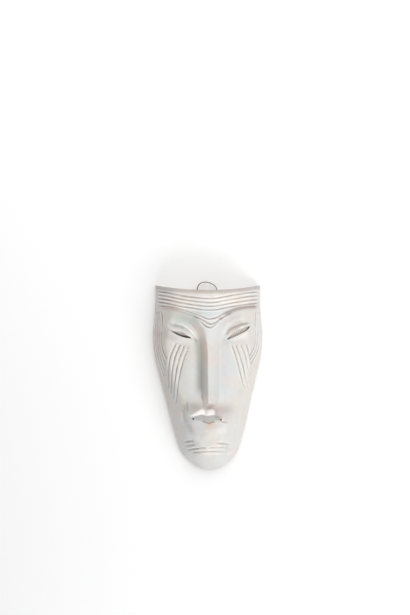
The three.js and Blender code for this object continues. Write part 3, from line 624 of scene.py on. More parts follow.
def incised_lines():
    """The lines drawn in the clay, each with its depth and darkness against the usual and half its width."""
    lines = []
    for share in np.linspace(0, 1, STRIPES):
        stripe = forehead_line(lambda a: first_stripe(a) * (1 - share) + last_stripe(a) * share, STRIPE_REACH)
        lines.append((stripe, 1.0, STRIPE_DARKNESS, GROOVE_HALF_WIDTH))
    lines.append((forehead_line(brow_line, BROW_REACH), 1.0, 1.0, GROOVE_HALF_WIDTH))
    for count, depth, darkness, width, first, last in LINE_SETS.values():
        for share in np.linspace(0, 1, count):
            lines.append((np.array(first) * (1 - share) + np.array(last) * share, depth, darkness, width))
    return [(smooth_line(line), *rest) for line, *rest in lines]


def lifted(line):
    return np.column_stack([line, front(line[:, 0], line[:, 1])])


def groove_depths(points):
    """For each point of the front: how deep and how dark it is in a line, and its share of a burr, where the
    glaze gets a painted highlight.
    """
    depth = np.zeros(len(points))
    burr = np.zeros(len(points))
    dark = np.zeros(len(points))
    for number, (line, deep, darkness, half) in enumerate(incised_lines()):
        distance, along, length = near_line(points, lifted(line), SHOULDER_WIDTH * 2)
        sway = 1 + sum(share * np.sin(along * rate + number * shift) for share, rate, shift in GROOVE_WAVES)
        width = half * (1 - GROOVE_SWAY + GROOVE_SWAY * sway)
        taper = min(GROOVE_TAPER, length / 4)
        ends = smooth(0, taper, along) * smooth(0, taper, length - along)
        share = ends * sway * deep
        cut = np.clip(1 - (distance / width) ** 2, 0, 1) ** GROOVE_ROUND
        pressed = GROOVE_SHOULDER * np.exp(-((distance / SHOULDER_WIDTH) ** 2))
        raised = BURR_HEIGHT * np.exp(-(((distance - width - BURR_PLACE) / BURR_WIDTH) ** 2))
        depth = np.maximum(depth, (cut + pressed) * share)
        burr = np.maximum(burr, raised * share)
        dark = np.maximum(dark, cut * ends * sway * darkness)
    return depth - burr, dark, burr / BURR_HEIGHT


def handwork(x, y):
    """The slight unevenness of a surface smoothed by hand, in mm. The waves only have to be out of step."""
    wide = np.sin(x * 0.21 + 1.3 + 0.8 * np.sin(y * 0.11)) * np.sin(y * 0.17 + 0.4 + 0.7 * np.sin(x * 0.13))
    fine = np.sin(x * 0.47 + 0.6 * y * 0.3) * np.sin(y * 0.39 + 2.0 + 0.5 * np.sin(x * 0.31))
    return HAND_WIDE * wide + HAND_FINE * fine


def grid_normals(grid):
    down = np.gradient(grid, axis=0)
    across = np.gradient(grid, axis=1)
    normals = np.cross(down, across)
    length = np.linalg.norm(normals, axis=-1, keepdims=True)
    return np.where(length > NO_LENGTH, normals / np.maximum(length, NO_LENGTH), [0, 0, 1])


def carved_front():
    grid = front_grid()
    points = grid.reshape(-1, 3)
    depth, dark, bank_painted_highlight = groove_depths(points)
    normals = grid_normals(grid).reshape(-1, 3)
    rise = handwork(points[:, 0], points[:, 1]) - GROOVE_DEPTH * depth
    edge = np.zeros(grid.shape[:2], bool)
    edge[0], edge[-1], edge[:, 0], edge[:, -1] = True, True, True, True
    rise[edge.ravel()] = 0
    return (points + normals * rise[:, None]).reshape(grid.shape), {"groove": dark, "bank_painted_highlight": bank_painted_highlight}


class Shell:
    """Collects points and faces of one closed mesh, and the number of each face's material."""

    def __init__(self):
        self.points = []
        self.faces = []
        self.materials = []
        self.count = 0

    def add_points(self, points):
        numbers = self.count + np.arange(len(points))
        self.points.append(points)
        self.count += len(points)
        return numbers

    def add_grid(self, numbers, flip=False, material=0):
        a, b = numbers[:-1, :-1], numbers[1:, :-1]
        c, d = numbers[1:, 1:], numbers[:-1, 1:]
        quads = np.stack([a, b, c, d], axis=-1).reshape(-1, 4)
        self.faces.append(quads[:, ::-1] if flip else quads)
        self.materials += [material] * len(quads)

    def mesh(self, name, caps=()):
        mesh = bpy.data.meshes.new(name)
        faces = np.concatenate(self.faces).tolist() + list(caps)
        mesh.from_pydata(np.concatenate(self.points) * MM, [], faces)
        mesh.polygons.foreach_set("material_index", self.materials + [0] * len(caps))
        return mesh


def boundary(numbers):
    return np.r_[numbers[0], numbers[1:, -1], numbers[-2:0:-1, 0]]


def closed(rings):
    return np.column_stack([rings, rings[:, :1]])


def mask_mesh():
    shell = Shell()
    outside, shares = carved_front()
    inside = hollow_grid()
    outer = shell.add_points(outside.reshape(-1, 3)).reshape(outside.shape[:2])
    inner = shell.add_points(inside.reshape(-1, 3)).reshape(inside.shape[:2])
    shell.add_grid(outer, material=GLAZE)
    shell.add_grid(inner, flip=True, material=THIN_GLAZE)
    feet = []
    for numbers, flip, material in ((outer, False, GLAZE), (inner, True, THIN_GLAZE)):
        loop = boundary(numbers)
        top = np.concatenate(shell.points)[loop]
        rings = [loop]
        for share in np.linspace(0, 1, WALL_STEPS + 1)[1:]:
            ring = top.copy()
            ring[:, 2] = top[:, 2] * (1 - share) + FOOT_HEIGHT * share
            rings.append(shell.add_points(ring))
        foot = shell.add_points(top * [1, 1, 0])
        shell.add_grid(closed(np.array(rings)), flip, material)
        shell.add_grid(closed(np.array([rings[-1], foot])), flip, BARE_CLAY)
        feet.append(foot)
    mesh = shell.mesh("glazed_mask")
    for name, share in shares.items():
        attribute = mesh.attributes.new(name, "FLOAT", "POINT")
        attribute.data.foreach_set("value", np.r_[share, np.zeros(shell.count - len(share))])
    return mesh, feet


def join_rim(mesh, feet):
    """Fills the flat ring between the outer and the inner foot, merges seams and points the faces out."""
    work = bmesh.new()
    work.from_mesh(mesh)
    work.verts.ensure_lookup_table()
    rings = []
    for foot in feet:
        loop = [work.verts[i] for i in foot]
        edges = []
        for a, b in zip(loop, loop[1:] + loop[:1]):
            edges.append(work.edges.get((a, b)) or work.edges.new((a, b)))
        rings += edges
    filled = bmesh.ops.triangle_fill(
        work, edges=rings, use_beauty=True, use_dissolve=False, normal=(0, 0, -1)
    )
    for face in filled["geom"]:
        if isinstance(face, bmesh.types.BMFace):
            face.material_index = BARE_CLAY
    bmesh.ops.remove_doubles(work, verts=work.verts, dist=SEAM_GAP * MM)
    bmesh.ops.dissolve_degenerate(work, edges=work.edges, dist=NO_EDGE * MM)
    bmesh.ops.recalc_face_normals(work, faces=work.faces)
    open_edges = sum(not edge.is_manifold for edge in work.edges)
    print("mask mesh:", len(work.faces), "faces,", open_edges, "open edges")
    work.to_mesh(mesh)
    work.free()


def new_object(name, data):
    thing = bpy.data.objects.new(name, data)
    bpy.context.collection.objects.link(thing)
    return thing


def smooth_object(name, mesh):
    mesh.polygons.foreach_set("use_smooth", [True] * len(mesh.polygons))
    return new_object(name, mesh)


# Cutters for the eyes and the mouth corners
def loft_object(name, rings):
    """A closed solid through rings of points, with flat ends."""
    shell = Shell()
    numbers = np.array([shell.add_points(np.array(ring, float)) for ring in rings])
    shell.add_grid(closed(numbers))
    mesh = shell.mesh(name, [numbers[0].tolist(), numbers[-1][::-1].tolist()])
    work = bmesh.new()
    work.from_mesh(mesh)
    bmesh.ops.triangulate(work, faces=work.faces)
    bmesh.ops.recalc_face_normals(work, faces=work.faces)
    work.to_mesh(mesh)
    work.free()
    return smooth_object(name, mesh)


def lid_cutter(eye):
    """Narrow behind the lids, and widening upwards to the front so that the upper lid is pared back."""
    line = smooth_line(eye["slit"])
    share = np.linspace(0, 1, len(line))
    along = np.gradient(line, axis=0)
    along /= np.linalg.norm(along, axis=1, keepdims=True)
    up = np.stack([-along[:, 1], along[:, 0]], axis=-1)
    up *= np.sign(up[:, 1:])
    opening = curve_through(eye["open"])(share)
    pared = curve_through(eye["pared"])(share)
    surface = front(line[:, 0], line[:, 1])
    rings = []
    for rise in (CUTTER_ABOVE, -eye["depth"], -CUTTER_BELOW):
        upper = opening + pared * max(0, (rise + eye["depth"]) / eye["depth"])
        high = np.column_stack([line + up * upper[:, None], surface + rise])
        low = np.column_stack([line - up * opening[:, None], surface + rise])
        rings.append(np.concatenate([low, high[::-1]]))
    return loft_object("eye_cutter", rings)


def circle(radius):
    turns = np.linspace(0, 2 * math.pi, HOLE_SIDES, endpoint=False)
    return radius * np.cos(turns), radius * np.sin(turns)


def hole_cutter(x, y):
    """A round hole at a mouth corner, straight down through the wall."""
    surface = float(front(np.array([x]), np.array([y]))[0])
    across, along = circle(CORNER_HOLE_RADIUS)
    rings = []
    for rise in (CUTTER_ABOVE, -CUTTER_BELOW):
        rings.append(np.column_stack([x + across, y + along, np.full(len(across), surface + rise)]))
    return loft_object("corner_cutter", rings)


def wire_hole_cutter(x):
    across, up = circle(WIRE_RADIUS + WIRE_CLEARANCE)
    rings = []
    for y in (TOP_Y + HOLE_OUTSIDE, TOP_Y - WALL - HOLE_INSIDE):
        rings.append(np.column_stack([x + across, np.full(len(across), y), LOOP_Z + up]))
    return loft_object("wire_hole_cutter", rings)


def cut_away(piece, cutters):
    """Takes the cutters out of the piece. The faces that they leave get the cutter's material."""
    for cutter, material in cutters:
        cutter.data.materials.append(material)
        cut = piece.modifiers.new("cut", "BOOLEAN")
        cut.operation = "DIFFERENCE"
        cut.solver = "MANIFOLD"
        cut.material_mode = "TRANSFER"
        cut.object = cutter
    graph = bpy.context.evaluated_depsgraph_get()
    mesh = bpy.data.meshes.new_from_object(piece.evaluated_get(graph), depsgraph=graph)
    piece.modifiers.clear()
    piece.data = mesh
    for cutter, _ in cutters:
        bpy.data.objects.remove(cutter)


def make_mask():
    mesh, feet = mask_mesh()
    join_rim(mesh, feet)
    piece = smooth_object("glazed_mask", mesh)
    for material in (glaze_material(), thin_glaze_material(), bare_clay_material()):
        mesh.materials.append(material)
    pared = pared_clay_material()
    cutters = [(lid_cutter(eye), pared) for eye in EYES]
    cutters += [(hole_cutter(x, y), pared) for x, y in CORNER_HOLES]
    cutters += [(wire_hole_cutter(x), mesh.materials[BARE_CLAY]) for x in LOOP_LEGS]
    cut_away(piece, cutters)
    colour_glaze(piece.data)
    piece.data.set_sharp_from_angle(angle=SHARP_ANGLE)
    return piece


# Camera, table and light
def make_camera():
    camera = bpy.data.cameras.new("camera")
    camera.lens = FOCAL_LENGTH
    camera.sensor_width = SENSOR
    holder = new_object("camera", camera)
    holder.location = (CAMERA_AT[0] * MM, CAMERA_AT[1] * MM, CAMERA_HEIGHT * MM)
    bpy.context.scene.camera = holder


def make_floor():
    bpy.ops.mesh.primitive_circle_add(vertices=TABLE_SIDES, radius=TABLE_RADIUS, fill_type="NGON")
    floor = bpy.context.object
    floor.name = "table_top"
    material = bpy.data.materials.new("white_table")
    material.use_nodes = True
    shader = material.node_tree.nodes["Principled BSDF"]
    shader.inputs["Base Color"].default_value = colour(TABLE_WHITE, TABLE_WHITE, TABLE_WHITE)
    shader.inputs["Roughness"].default_value = TABLE_ROUGHNESS
    floor.data.materials.append(material)


def soft_box(name, turn, height, power):
    """A square light aimed at the mask's middle. The turn runs from +X towards +Y, both in degrees."""
    turn, height = math.radians(turn), math.radians(height)
    flat = BOX_DISTANCE * math.cos(height)
    place = Vector((flat * math.cos(turn), flat * math.sin(turn), BOX_DISTANCE * math.sin(height)))
    light = bpy.data.lights.new(name, "AREA")
    light.shape = "SQUARE"
    light.size = BOX_SIZE
    light.energy = power
    holder = new_object(name, light)
    holder.location = place
    holder.rotation_euler = (-place).to_track_quat("-Z", "Y").to_euler()
    holder.visible_camera = False


def make_lights():
    """A ring of large soft boxes. The strongest stands low, below and to the right of the chin."""
    for box in SOFT_BOXES:
        soft_box(*box)
    world = bpy.data.worlds.new("studio")
    world.use_nodes = True
    tree = world.node_tree
    background = tree.nodes["Background"]
    background.inputs["Color"].default_value = colour(1, 1, 1)
    seen = tree.nodes.new("ShaderNodeLightPath")
    strength = tree.nodes.new("ShaderNodeMapRange")
    strength.inputs["To Min"].default_value = WORLD_LIGHT
    strength.inputs["To Max"].default_value = WALL_LIGHT
    tree.links.new(seen.outputs["Is Camera Ray"], strength.inputs["Value"])
    tree.links.new(strength.outputs["Result"], background.inputs["Strength"])
    bpy.context.scene.world = world
    bpy.context.scene.view_settings.view_transform = "Standard"


# Materials
WAVE_LENGTH = math.pi / 10  # between two crests of the wave texture at scale 1
SEED_SPREAD = np.array([1.0, 1.7, 0.6])
BLADE_MARK_STEP = 2.7  # mm between the marks that the blade left in the eye cuts
BLADE_MARK_TURN = 25
BLADE_WAVER = 1.5
# painted shade inside the cuts
CUT_PAINTED_SHADE = (3.2, 7.0)  # the cuts darken between these depths below the face


def colour(red, green, blue):
    return (red, green, blue, 1.0)


class Nodes:
    """Short calls that add linked nodes to a new material."""

    def __init__(self, name):
        self.material = bpy.data.materials.new(name)
        self.material.use_nodes = True
        self.tree = self.material.node_tree
        self.shader = self.tree.nodes["Principled BSDF"]
        self.place = self.tree.nodes.new("ShaderNodeTexCoord").outputs["Object"]

    def feed(self, socket, value):
        if isinstance(value, bpy.types.NodeSocket):
            self.tree.links.new(value, socket)
        else:
            socket.default_value = value

    def finish(self, **inputs):
        for name, value in inputs.items():
            self.feed(self.shader.inputs[name.replace("_", " ").title()], value)
        return self.material

    def attribute(self, name, output="Fac"):
        node = self.tree.nodes.new("ShaderNodeAttribute")
        node.attribute_name = name
        return node.outputs[output]

    def noise(self, size, detail=2.0, stretch=(1, 1, 1), seed=0.0):
        """Noise from 0 to 1 whose blots are about so many millimetres across."""
        mapping = self.tree.nodes.new("ShaderNodeMapping")
        self.feed(mapping.inputs["Vector"], self.place)
        mapping.inputs["Location"].default_value = seed * SEED_SPREAD
        mapping.inputs["Scale"].default_value = [1 / (size * MM * along) for along in stretch]
        node = self.tree.nodes.new("ShaderNodeTexNoise")
        self.feed(node.inputs["Vector"], mapping.outputs["Vector"])
        node.inputs["Scale"].default_value = 1.0
        node.inputs["Detail"].default_value = detail
        return node.outputs["Fac"]

    def marks(self, step, turn):
        """Wavering parallel marks so many millimetres apart, turned by an angle in degrees."""
        mapping = self.tree.nodes.new("ShaderNodeMapping")
        mapping.vector_type = "TEXTURE"
        self.feed(mapping.inputs["Vector"], self.place)
        mapping.inputs["Rotation"].default_value = (0, 0, math.radians(turn))
        node = self.tree.nodes.new("ShaderNodeTexWave")
        self.feed(node.inputs["Vector"], mapping.outputs["Vector"])
        node.inputs["Scale"].default_value = WAVE_LENGTH / (step * MM)
        node.inputs["Distortion"].default_value = BLADE_WAVER
        return node.outputs["Fac"]

    def spread(self, value, low, high, to_low=0.0, to_high=1.0):
        """Stretches the range from low to high over the new range, softly at both ends."""
        node = self.tree.nodes.new("ShaderNodeMapRange")
        node.interpolation_type = "SMOOTHSTEP"
        self.feed(node.inputs["Value"], value)
        for name, number in zip(("From Min", "From Max", "To Min", "To Max"), (low, high, to_low, to_high)):
            node.inputs[name].default_value = number
        return node.outputs["Result"]

    def work_out(self, operation, first, second):
        node = self.tree.nodes.new("ShaderNodeMath")
        node.operation = operation
        node.use_clamp = True
        self.feed(node.inputs[0], first)
        self.feed(node.inputs[1], second)
        return node.outputs["Value"]

    def mix(self, share, first, second, blend="MIX"):
        """Mixes two colours, with the second one's share from 0 to 1."""
        node = self.tree.nodes.new("ShaderNodeMix")
        node.data_type = "RGBA"
        node.blend_type = blend
        sockets = {socket.identifier: socket for socket in node.inputs}
        for name, value in (("Factor_Float", share), ("A_Color", first), ("B_Color", second)):
            self.feed(sockets[name], value)
        return {socket.identifier: socket for socket in node.outputs}["Result_Color"]

    def blots(self, body, tone, size, detail, seed, edges, most=1.0):
        """Lays a tone over the body in blots of so many mm. They fade in between the noise's two edges."""
        share = self.spread(self.noise(size, detail, seed=seed), *edges, 0, most)
        return self.mix(share, body, tone)

    def bump(self, height, strength, distance):
        node = self.tree.nodes.new("ShaderNodeBump")
        self.feed(node.inputs["Height"], height)
        node.inputs["Strength"].default_value = strength
        node.inputs["Distance"].default_value = distance * MM
        return node.outputs["Normal"]


def glaze_material():
    """Glossy off-white glaze with drifting tints, thin and brown-grey in the grooves and on the edges. Its
    tint attribute also lays painted shade and painted highlights on it, and the groove banks get a painted
    highlight.
    """
    nodes = Nodes("glaze")
    cool = colour(0.62, 0.63, 0.625)
    warm = colour(0.66, 0.62, 0.575)
    pink = colour(0.67, 0.59, 0.57)
    green = colour(0.56, 0.58, 0.54)
    body = nodes.blots(cool, warm, 34, 2, 2.0, (0.38, 0.62))
    body = nodes.blots(body, pink, 22, 3, 7.0, (0.5, 0.72), 0.7)
    body = nodes.blots(body, green, 15, 4, 11.0, (0.52, 0.74), 0.6)
    streaks = nodes.noise(2.6, 4, stretch=(1, 4, 4), seed=3.0)
    body = nodes.mix(nodes.spread(streaks, 0.35, 0.75, 0, 0.2), body, colour(0.70, 0.69, 0.67))
    # painted highlight: the burrs beside the grooves are painted lighter
    body = nodes.mix(nodes.spread(nodes.attribute("bank_painted_highlight"), 0.1, 1.0, 0, 0.6), body, colour(0.80, 0.79, 0.775))
    # the tint attribute holds glaze colours and also painted shade and painted highlights
    body = nodes.mix(1.0, body, nodes.attribute("tint", "Color"), "MULTIPLY")
    body = nodes.blots(body, colour(0.34, 0.29, 0.25), 0.9, 3, 5.0, (0.64, 0.82), 0.06)
    ragged = nodes.spread(nodes.noise(1.8, 3, seed=9.0), 0.2, 0.7, 0.75, 1.25)
    core = nodes.spread(nodes.work_out("MULTIPLY", nodes.attribute("groove"), ragged), 0.25, 0.85)
    uneven = nodes.spread(nodes.noise(12, 3, seed=19.0), 0.3, 0.7, 0.6, 1.0)
    thin = nodes.spread(nodes.work_out("MULTIPLY", nodes.attribute("edge"), uneven), 0.1, 0.9)
    body = nodes.mix(thin, body, colour(0.45, 0.35, 0.29))
    body = nodes.mix(core, body, colour(0.44, 0.385, 0.345))
    gloss = nodes.spread(nodes.noise(8, 3, seed=13.0), 0.3, 0.7, 0.28, 0.44)
    peel = nodes.noise(1.6, 3, seed=17.0)
    return nodes.finish(
        base_color=body,
        roughness=nodes.work_out("ADD", gloss, nodes.work_out("MULTIPLY", core, 0.25)),
        normal=nodes.bump(peel, 0.2, 0.05),
    )


def thin_glaze_material():
    """The hollow: a thin wash of glaze over the clay, brushed on."""
    nodes = Nodes("thin_glaze")
    wash = nodes.noise(9, 5, stretch=(1, 3, 1), seed=21.0)
    body = nodes.mix(nodes.spread(wash, 0.35, 0.65), colour(0.45, 0.36, 0.28), colour(0.58, 0.53, 0.47))
    body = nodes.blots(body, colour(0.25, 0.19, 0.14), 1.1, 3, 4.0, (0.6, 0.8), 0.5)
    return nodes.finish(
        base_color=body,
        roughness=nodes.spread(wash, 0.3, 0.7, 0.6, 0.38),
        normal=nodes.bump(nodes.noise(1.4, 4, seed=6.0), 0.5, 0.15),
    )


def bare_clay_material():
    """The foot that stood on the kiln shelf: bare fired stoneware with its grog showing."""
    nodes = Nodes("bare_clay")
    body = nodes.blots(colour(0.46, 0.35, 0.26), colour(0.56, 0.45, 0.35), 7, 4, 31.0, (0.35, 0.65))
    grog = nodes.noise(0.7, 2, seed=33.0)
    body = nodes.mix(nodes.spread(grog, 0.6, 0.72, 0, 0.7), body, colour(0.22, 0.16, 0.12))
    return nodes.finish(
        base_color=body,
        roughness=nodes.spread(grog, 0.3, 0.7, 0.78, 0.92),
        normal=nodes.bump(grog, 0.6, 0.12),
    )


def pared_clay_material():
    """Where the eyes are cut open: clay pared with a blade, under a thin satin glaze. Deeper in the cuts it
    gets painted shade.
    """
    nodes = Nodes("pared_clay")
    blade = nodes.marks(BLADE_MARK_STEP, BLADE_MARK_TURN)
    body = nodes.mix(nodes.spread(blade, 0.35, 0.8), colour(0.42, 0.385, 0.35), colour(0.56, 0.53, 0.485))
    body = nodes.blots(body, colour(0.48, 0.40, 0.33), 4, 3, 43.0, (0.5, 0.7), 0.4)
    # painted shade: darker with depth inside the cuts
    body = nodes.mix(nodes.spread(nodes.attribute("deep"), *CUT_PAINTED_SHADE), body, colour(0.1, 0.07, 0.05))
    return nodes.finish(
        base_color=body,
        roughness=nodes.spread(blade, 0.3, 0.7, 0.42, 0.6),
        normal=nodes.bump(blade, 0.4, 0.1),
    )


# Tints of the glaze where it pooled, ran thin or took up colour, and painted shade and painted light where
# places are lighter or darker by how light falls: (x, y, half width, half length, tint)
GLAZE_TINT_AND_PAINTED_LIGHT_SPOTS = {
    "mauve over the lip": (20, -44, 16, 9, (0.80, 0.70, 0.69)),
    # mauve glaze and painted shade under the nose
    "under the nose": (3, -38, 10, 4, (0.80, 0.71, 0.71)),
    # painted reflection: the nose tip tinted the bluish colour of its highlight
    "tip of the nose": (3, -30, 5, 4, (0.90, 0.92, 0.96)),
    "left eye, inner corner": (-21.4, 51, 2.2, 1.9, (0.98, 0.78, 0.64)),
    "brow, brown spot": (17.2, 77.8, 3.0, 2.2, (0.60, 0.46, 0.39)),
    "right mouth corner": (22, -55, 9, 4, (1.0, 0.88, 0.80)),
    "lower lip": (6, -65, 13, 5, (0.98, 0.87, 0.85)),
    "glow under the mouth line": (3, -62.4, 5, 1.6, (1.0, 0.84, 0.68)),
    # painted glint
    "painted glint beside the right hole": (19.4, -56.4, 1.3, 1.4, (1.3, 1.3, 1.3)),
    "dark spot at the nostril": (-7.6, -26.5, 2.0, 2.6, (0.80, 0.79, 0.76)),
    # painted light: the foot of the nose's left flank is lightened
    "foot of the left flank": (-3, -33.5, 4, 7, (1.24, 1.22, 1.20)),
    "brown beside the lip": (11, -45, 4, 5, (0.90, 0.85, 0.82)),
    "green under the lip": (8, -57.6, 5, 1.8, (1.0, 1.0, 0.93)),
    # painted highlight in the notch of the lip, bluish like the facets
    "notch of the lip": (-3.4, -46.0, 2.4, 4.2, (1.12, 1.18, 1.21)),
    "left edge": (-67, 60, 7, 45, (0.93, 0.86, 0.85)),
    "low on the left side": (-54, -18, 8, 30, (0.92, 0.90, 0.88)),
    "forehead": (-8, 105, 75, 13, (1.0, 0.94, 0.92)),
    "brow triangle": (0, 85, 16, 7, (0.95, 1.0, 1.02)),
    "left cheek": (-21, 0, 9, 34, (1.04, 1.1, 1.13)),
    # greenish glaze and painted shade in the left socket under the brow
    "left socket": (-37, 78, 20, 10, (0.81, 0.84, 0.80)),
    # painted light where the forehead faces the light
    "forehead, right of the middle": (17, 103, 26, 9, (1.18, 1.17, 1.16)),
    # painted shade on the left of the muzzle and beside the philtrum
    "left muzzle": (-24, -39, 10, 11, (0.84, 0.86, 0.86)),
    "left of the philtrum": (-15, -40, 10, 6.5, (0.78, 0.76, 0.77)),
    # painted light
    "beside the bridge": (-8, 76, 6, 8, (1.12, 1.12, 1.12)),
    # painted shade
    "outer corner of the left eye": (-57, 61, 6, 20, (0.86, 0.87, 0.87)),
    # painted light
    "chin": (-6, -102, 20, 19, (1.14, 1.13, 1.12)),
    "left of the chin": (-23, -80, 9, 6, (1.18, 1.18, 1.19)),
    "under the left eye": (-38, 47, 15, 5, (1.2, 1.2, 1.2)),
    # painted shade
    "under the right eye": (43, 47, 11, 5, (0.87, 0.87, 0.89)),
    "right cheek": (24, 5, 12, 40, (0.99, 0.98, 1.01)),
}

# The same along lines, glaze colours and painted shade and painted highlights: points, half width, tint
GLAZE_TINT_AND_PAINTED_LIGHT_LINES = {
    "mouth line": (
        [(-7.2, -58.3), (-3.9, -59.5), (-0.9, -60.5), (2.0, -61.2), (4.0, -60.0), (8.5, -59.2)],
        0.9, (0.48, 0.37, 0.30),
    ),
    "wet gleam over the mouth line": ([(3, -58.2), (9, -57.4), (16, -58.0)], 1.2, (1.0, 0.98, 0.80)),
    "right corner line": ([(18.6, -59.4), (25.6, -60.1)], 0.9, (0.62, 0.52, 0.46)),
    # brow ledges: painted shade under the ledge, with the brown of glaze thin on its edge
    "right brow ledge": (
        [(22, 83.1), (30.6, 87.4), (38.6, 90.4), (50.5, 92.4), (65, 93.4)],
        2.6, (0.58, 0.51, 0.50),
    ),
    "left brow ledge": ([(-63.6, 93.5), (-47.7, 91.5), (-37, 89)], 3.2, (0.88, 0.77, 0.77)),
    "left flank of the nose": ([(-7, 62), (-5.2, 42.7), (-4.6, 9.7), (-4.6, -27.3)], 5.0, (0.97, 0.90, 0.86)),
    # painted shadow of the nose in the valley, greenish where the glaze pooled
    "valley left of the nose": ([(-14.5, 52), (-11.8, 23), (-10.5, -17)], 4.5, (0.72, 0.76, 0.72)),
    # painted shade in the groove over the right lid
    "right lid": (
        [(24.9, 55.5), (27.0, 60.0), (30.6, 63.9), (36.4, 66.6), (44.1, 69.6), (54.0, 70.9)],
        1.8, (0.70, 0.68, 0.66),
    ),
    "right lid, inner": ([(24.9, 55.5), (27.0, 60.0), (30.6, 63.9), (36.4, 66.6)], 1.8, (0.84, 0.83, 0.82)),
    # painted light on the lower lid of the right eye
    "under the right slit": (
        [(29.3, 48.0), (37.3, 51.3), (45.2, 54.6), (51.9, 58.6)],
        2.4, (1.13, 1.13, 1.12),
    ),
    # painted shade in the groove over the left lid
    "left lid": ([(-46, 68), (-39, 67), (-31, 63.4)], 1.6, (0.88, 0.88, 0.84)),
    # painted highlight on the fold
    "left fold": ([(-42, 70.6), (-30.5, 66.6), (-22, 60.2), (-16.2, 52)], 1.4, (1.36, 1.33, 1.30)),
    # painted highlights on the lid rims
    "rim of the left lid": (
        [(-50, 63.4), (-42.6, 62.6), (-37.4, 61.4), (-32.5, 59.4), (-27.4, 56.2)],
        1.0, (1.06, 1.05, 1.02),
    ),
    "rim of the right lid": (
        [(26, 53.1), (31.4, 58.0), (38.3, 61.8), (43.5, 65.2), (49.6, 68.1), (54.5, 69.1)],
        1.0, (1.36, 1.33, 1.27),
    ),
    # painted shade in the groove
    "groove over the left lid": ([(-48, 68.4), (-40, 67.0), (-33, 64.6)], 1.8, (0.80, 0.80, 0.79)),
    # painted highlight on the fold
    "right fold": ([(20.5, 58), (26, 68), (34, 73.6), (44, 76.2)], 2.2, (1.12, 1.12, 1.12)),
    # painted shade in the jaw creases
    "left jaw": ([(-31.5, -38), (-32, -50), (-30, -60)], 2.8, (0.89, 0.88, 0.87)),
    "left jaw, lower": ([(-26, -62), (-22, -75)], 3.6, (0.87, 0.86, 0.85)),
    "streak left of the mouth": ([(-27.5, -34), (-27, -46)], 1.2, (0.72, 0.70, 0.68)),
}
TINT_REACH = 2.5  # a tint along a line reaches so many half widths

# The lip: painted highlight on its facets and painted shade on its underside, and where they begin and are
# full, as shares of the rise or fall, or in mm across
LIP_FACET_PAINTED_HIGHLIGHT = (1.52, 1.60, 1.64)
LIP_UNDER_PAINTED_SHADE = (0.68, 0.695, 0.72)
LIP_FACET_EDGE = (0.05, 0.4)
LIP_RIDGE_EDGE = (0.16, 0.0)
LIP_UNDER_EDGE = (1.05, 0.7)
LIP_LOBE_GAP = 2.0
LIP_FACET_LEFT = (-26.0, -21.0)
LIP_FACET_RIGHT = (10.5, 7.0)
LIP_UNDER_LEFT = (-22.0, -15.0)
LIP_UNDER_RIGHT = (17.5, 13.0)

# Thin glaze along the rounded top edge, which also gets painted shade, along the outline and where it meets
# the bare foot
TOP_BAND_THIN_GLAZE_AND_SHADE = (0.72, 0.68, 0.66)  # tint of the top edge
TOP_BAND_FADE = (6.8, 3.0)  # mm below the top edge where the band ends, and where it is full
EDGE_BAND = 2.2  # width of the thin glaze along the outline
EDGE_THIN = 0.3  # how thin the glaze is there
FOOT_THIN = 0.35  # how much thinner it gets down to the foot
SEAM_THIN = 0.9  # how thin it is where it meets the bare clay


def mesh_points(mesh):
    points = np.empty(len(mesh.vertices) * 3)
    mesh.vertices.foreach_get("co", points)
    return points.reshape(-1, 3) / MM


def lip_painted_light(x, y):
    """Painted light on the lip: its two facets are painted bright where they face up, and its underside is
    painted in shade.
    """
    rise = (lip_top(x) - y) / (lip_top(x) - lip_ridge(x))
    fall = (lip_ridge(x) - y) / (lip_ridge(x) - mouth_line(x))
    lobes = 1 - np.exp(-(((x - LIP_NOTCH_X) / LIP_LOBE_GAP) ** 2))
    facet = smooth(*LIP_FACET_EDGE, rise) * smooth(*LIP_RIDGE_EDGE, fall)
    facet_ends = smooth(*LIP_FACET_LEFT, x) * smooth(*LIP_FACET_RIGHT, x)
    under = smooth(*reversed(LIP_RIDGE_EDGE), fall) * smooth(*LIP_UNDER_EDGE, fall)
    under_ends = smooth(*LIP_UNDER_LEFT, x) * smooth(*LIP_UNDER_RIGHT, x)
    return [(facet * lobes * facet_ends, LIP_FACET_PAINTED_HIGHLIGHT), (under * under_ends, LIP_UNDER_PAINTED_SHADE)]


def glaze_tint_and_painted_light(place):
    # glaze colours multiplied together with painted shade and painted highlights
    x, y = place[:, 0], place[:, 1]
    tint = np.ones((len(place), 4))
    shades = [(mound(x, y, spot[:4] + (1.0,)), spot[4]) for spot in GLAZE_TINT_AND_PAINTED_LIGHT_SPOTS.values()]
    for points, wide, shade in GLAZE_TINT_AND_PAINTED_LIGHT_LINES.values():
        line = smooth_line(points)
        distance, along, length = near_line(place, line, wide * TINT_REACH)
        ends = smooth(-wide, wide, along) * smooth(-wide, wide, length - along)
        shades.append((np.exp(-((distance / wide) ** 2)) * ends, shade))
    shades += lip_painted_light(x, y)
    across = place_across(x, y)
    # the top edge darkens: thin glaze and painted shade
    shades.append((smooth(*TOP_BAND_FADE, top_edge(across) - y), TOP_BAND_THIN_GLAZE_AND_SHADE))
    for share, shade in shades:
        tint[:, :3] *= 1 - share[:, None] * (1 - np.array(shade))
    return tint


def thin_places(mesh, points):
    """Where the glaze breaks brown: at the outline, most of all low down, and where it meets bare clay."""
    x, y, z = points.T
    inward = half_width(y) - np.abs(x - middle_x(y))
    thin = smooth(EDGE_BAND, 0, inward) * (EDGE_THIN + FOOT_THIN * smooth(EDGE_HEIGHT, FOOT_HEIGHT, z))
    seen = [set() for _ in mesh.vertices]
    for face in mesh.polygons:
        for corner in face.vertices:
            seen[corner].add(face.material_index)
    thin[[len(materials) > 1 and PARED not in materials for materials in seen]] = SEAM_THIN
    return thin


